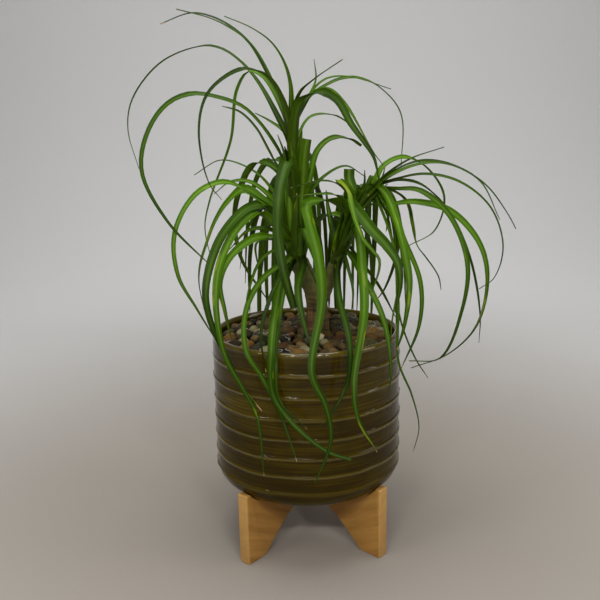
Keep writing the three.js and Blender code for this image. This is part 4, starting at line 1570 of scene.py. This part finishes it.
def make_leaf_green():
    material, tree, shader = start_material("leaf_green", specular_ior_level=0.07)
    values = ("side", "face", "run", "share", "tone", "dry", "fold")
    side, face, run, share, tone, dry, fold = (tree.attribute(value) for value in values)
    veins = tree.stretched(side * 9 + tone * 57, run * 14, tone * 31, 3.0, 0.65)
    blotch = tree.stretched(side * 0.7, run * 26, tone * 83)
    age = tree.ramp(share + (tone - 0.5) * 0.16, [
        (0.0, (64, 84, 0)), (0.08, (58, 88, 0)), (0.25, (66, 104, 0)), (0.6, (60, 95, 0)),
        (1.0, (48, 74, 0)),
    ])
    places = tree.split(tree.place())
    heart = tree.combined(*((at - mid) / size for at, mid, size in zip(places, HEART, HEART_SIZE)))
    depth = 1 - tree.smooth(tree.vector("LENGTH", heart, out="Value"), 0.2, 1.1)
    shade = (1 - depth * (0.75 - tone * 0.4)) * (0.5 + tree.smooth(places[2], *LOW_DOWN) * 0.5)
    light = (0.24 + veins * 0.9 + (tone - 0.5) * 0.85 + (blotch - 0.5) * 0.5) * shade
    green = tree.scaled(age, light)
    yellow = tree.smooth(blotch + (tone - 0.5) * 0.1, 0.66, 0.76) * 0.4
    mottled = tree.blend(yellow + fold * 0.5, green, (150, 158, 30))
    under = tree.blend((face < 0) * 0.25, mottled, (82, 108, 14))
    # Painted highlight: a pale sheen is painted down each leaf's middle, stronger where the leaf is painted
    # lit.
    sheen = tree.smooth(abs(side + (veins - 0.5) * 0.8), 0.5, 0.0) * 0.38 * light
    with_painted_sheen = tree.blend(sheen, under, (124, 156, 60))
    brown = tree.smooth(share + (dry - 0.7) * 0.05 + (blotch - 0.5) * 0.03, 0.985, 1.0)
    color = tree.blend(brown, with_painted_sheen, (168, 142, 92))
    rough = 0.36 + veins * 0.16 + brown * 0.3
    feed(tree, shader, base_color=color, roughness=rough, normal=tree.bump(veins, 0.00025, 0.5))
    return material


leaf_green = make_leaf_green()
print("leaf green is made of", len(leaf_green.node_tree.nodes), "nodes")

# %% [markdown]
# Each crown is one piece: its stalk, the leaves that the photograph shows, the leaves at the back, and
# the leaf bases, in that order. One seeded run of numbers gives every leaf its tone, its dry tip and its
# twist, so a crown comes out the same each time. Another gives the leaves at the back their widths.

# %% The crowns
# The tones that bright and dull leaves are pulled towards: painted light and painted shade over their own
# colour.
BRIGHT_TONE = 0.9
DULL_TONE = 0.15
BLADE_THICKNESS = 0.9


def make_crown(name, stalk, seen_leaves, back, sheaths, paint_on):
    chance = seeded(back[-1] + 40)
    strands = [stalk_stations(stalk)]
    for leaf, (seen, near_tip, *places) in seen_leaves.items():
        pull = BRIGHT_TONE if leaf in BRIGHT_AND_LIT else DULL_TONE if leaf in DULL_AND_SHADED else None
        own = {"end": BLUNT.get(leaf), "slim": SLIM.get(leaf, 1.0), "kink": KINKED.get(leaf), "pull": pull}
        strands.append(leaf_stations(seen_route(near_tip, places), seen, stalk, chance, **own))
    widths = seeded(back[-1] + 1)
    for route in back_routes(stalk, *back):
        strands.append(leaf_stations(route, 5 + 4.5 * next(widths), stalk, chance))
    for route in sheath_routes(stalk, *sheaths):
        strands.append(leaf_stations(route, SHEATH_WIDTH, stalk, chance, sheath=True))
    crown = make_lines(name, strands)
    shape_by_nodes(crown, name, strap_leaves, thickness=BLADE_THICKNESS * MM, facets=16, paint_on=paint_on)
    return crown


tall_crown = make_crown(
    "tall_crown_leaves", TALL_STALK, TALL_LEAVES, BACK_LEAVES["tall"], SHEATHS["tall"], leaf_green
)
side_crown = make_crown(
    "side_crown_leaves", SIDE_STALK, SIDE_LEAVES, BACK_LEAVES["side"], SHEATHS["side"], leaf_green
)

# %% [markdown]
# ## Tying the pieces to the frame
#
# Nothing on the plant moves, so every new piece rides on the one body, and the packed node that it stands
# for is hidden; the soil is the packed solid itself. The last cell prints the packed box and the finished
# one side by side.

# %% Tie and finish
DRESSED = [
    (pot, "pot", "olive_glaze"),
    (stand_right, "stand_board_right", "light_wood"),
    (stand_left, "stand_board_left", "light_wood"),
    (pebbles, "pebbles", "river_pebble"),
    (trunk, "trunk", "bark"),
    (tall_crown, "tall_crown", "leaf_green"),
    (side_crown, "side_crown", "leaf_green"),
]
for piece, node, finish in DRESSED:
    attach(piece, "root")
    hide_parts(node)

dressed_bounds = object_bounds()
sizes = {"cad": [list(corner) for corner in cad_bounds], "visual": [list(corner) for corner in dressed_bounds]}
for label, (low, high) in sizes.items():
    print(label, [round(value, 4) for value in low], [round(value, 4) for value in high])
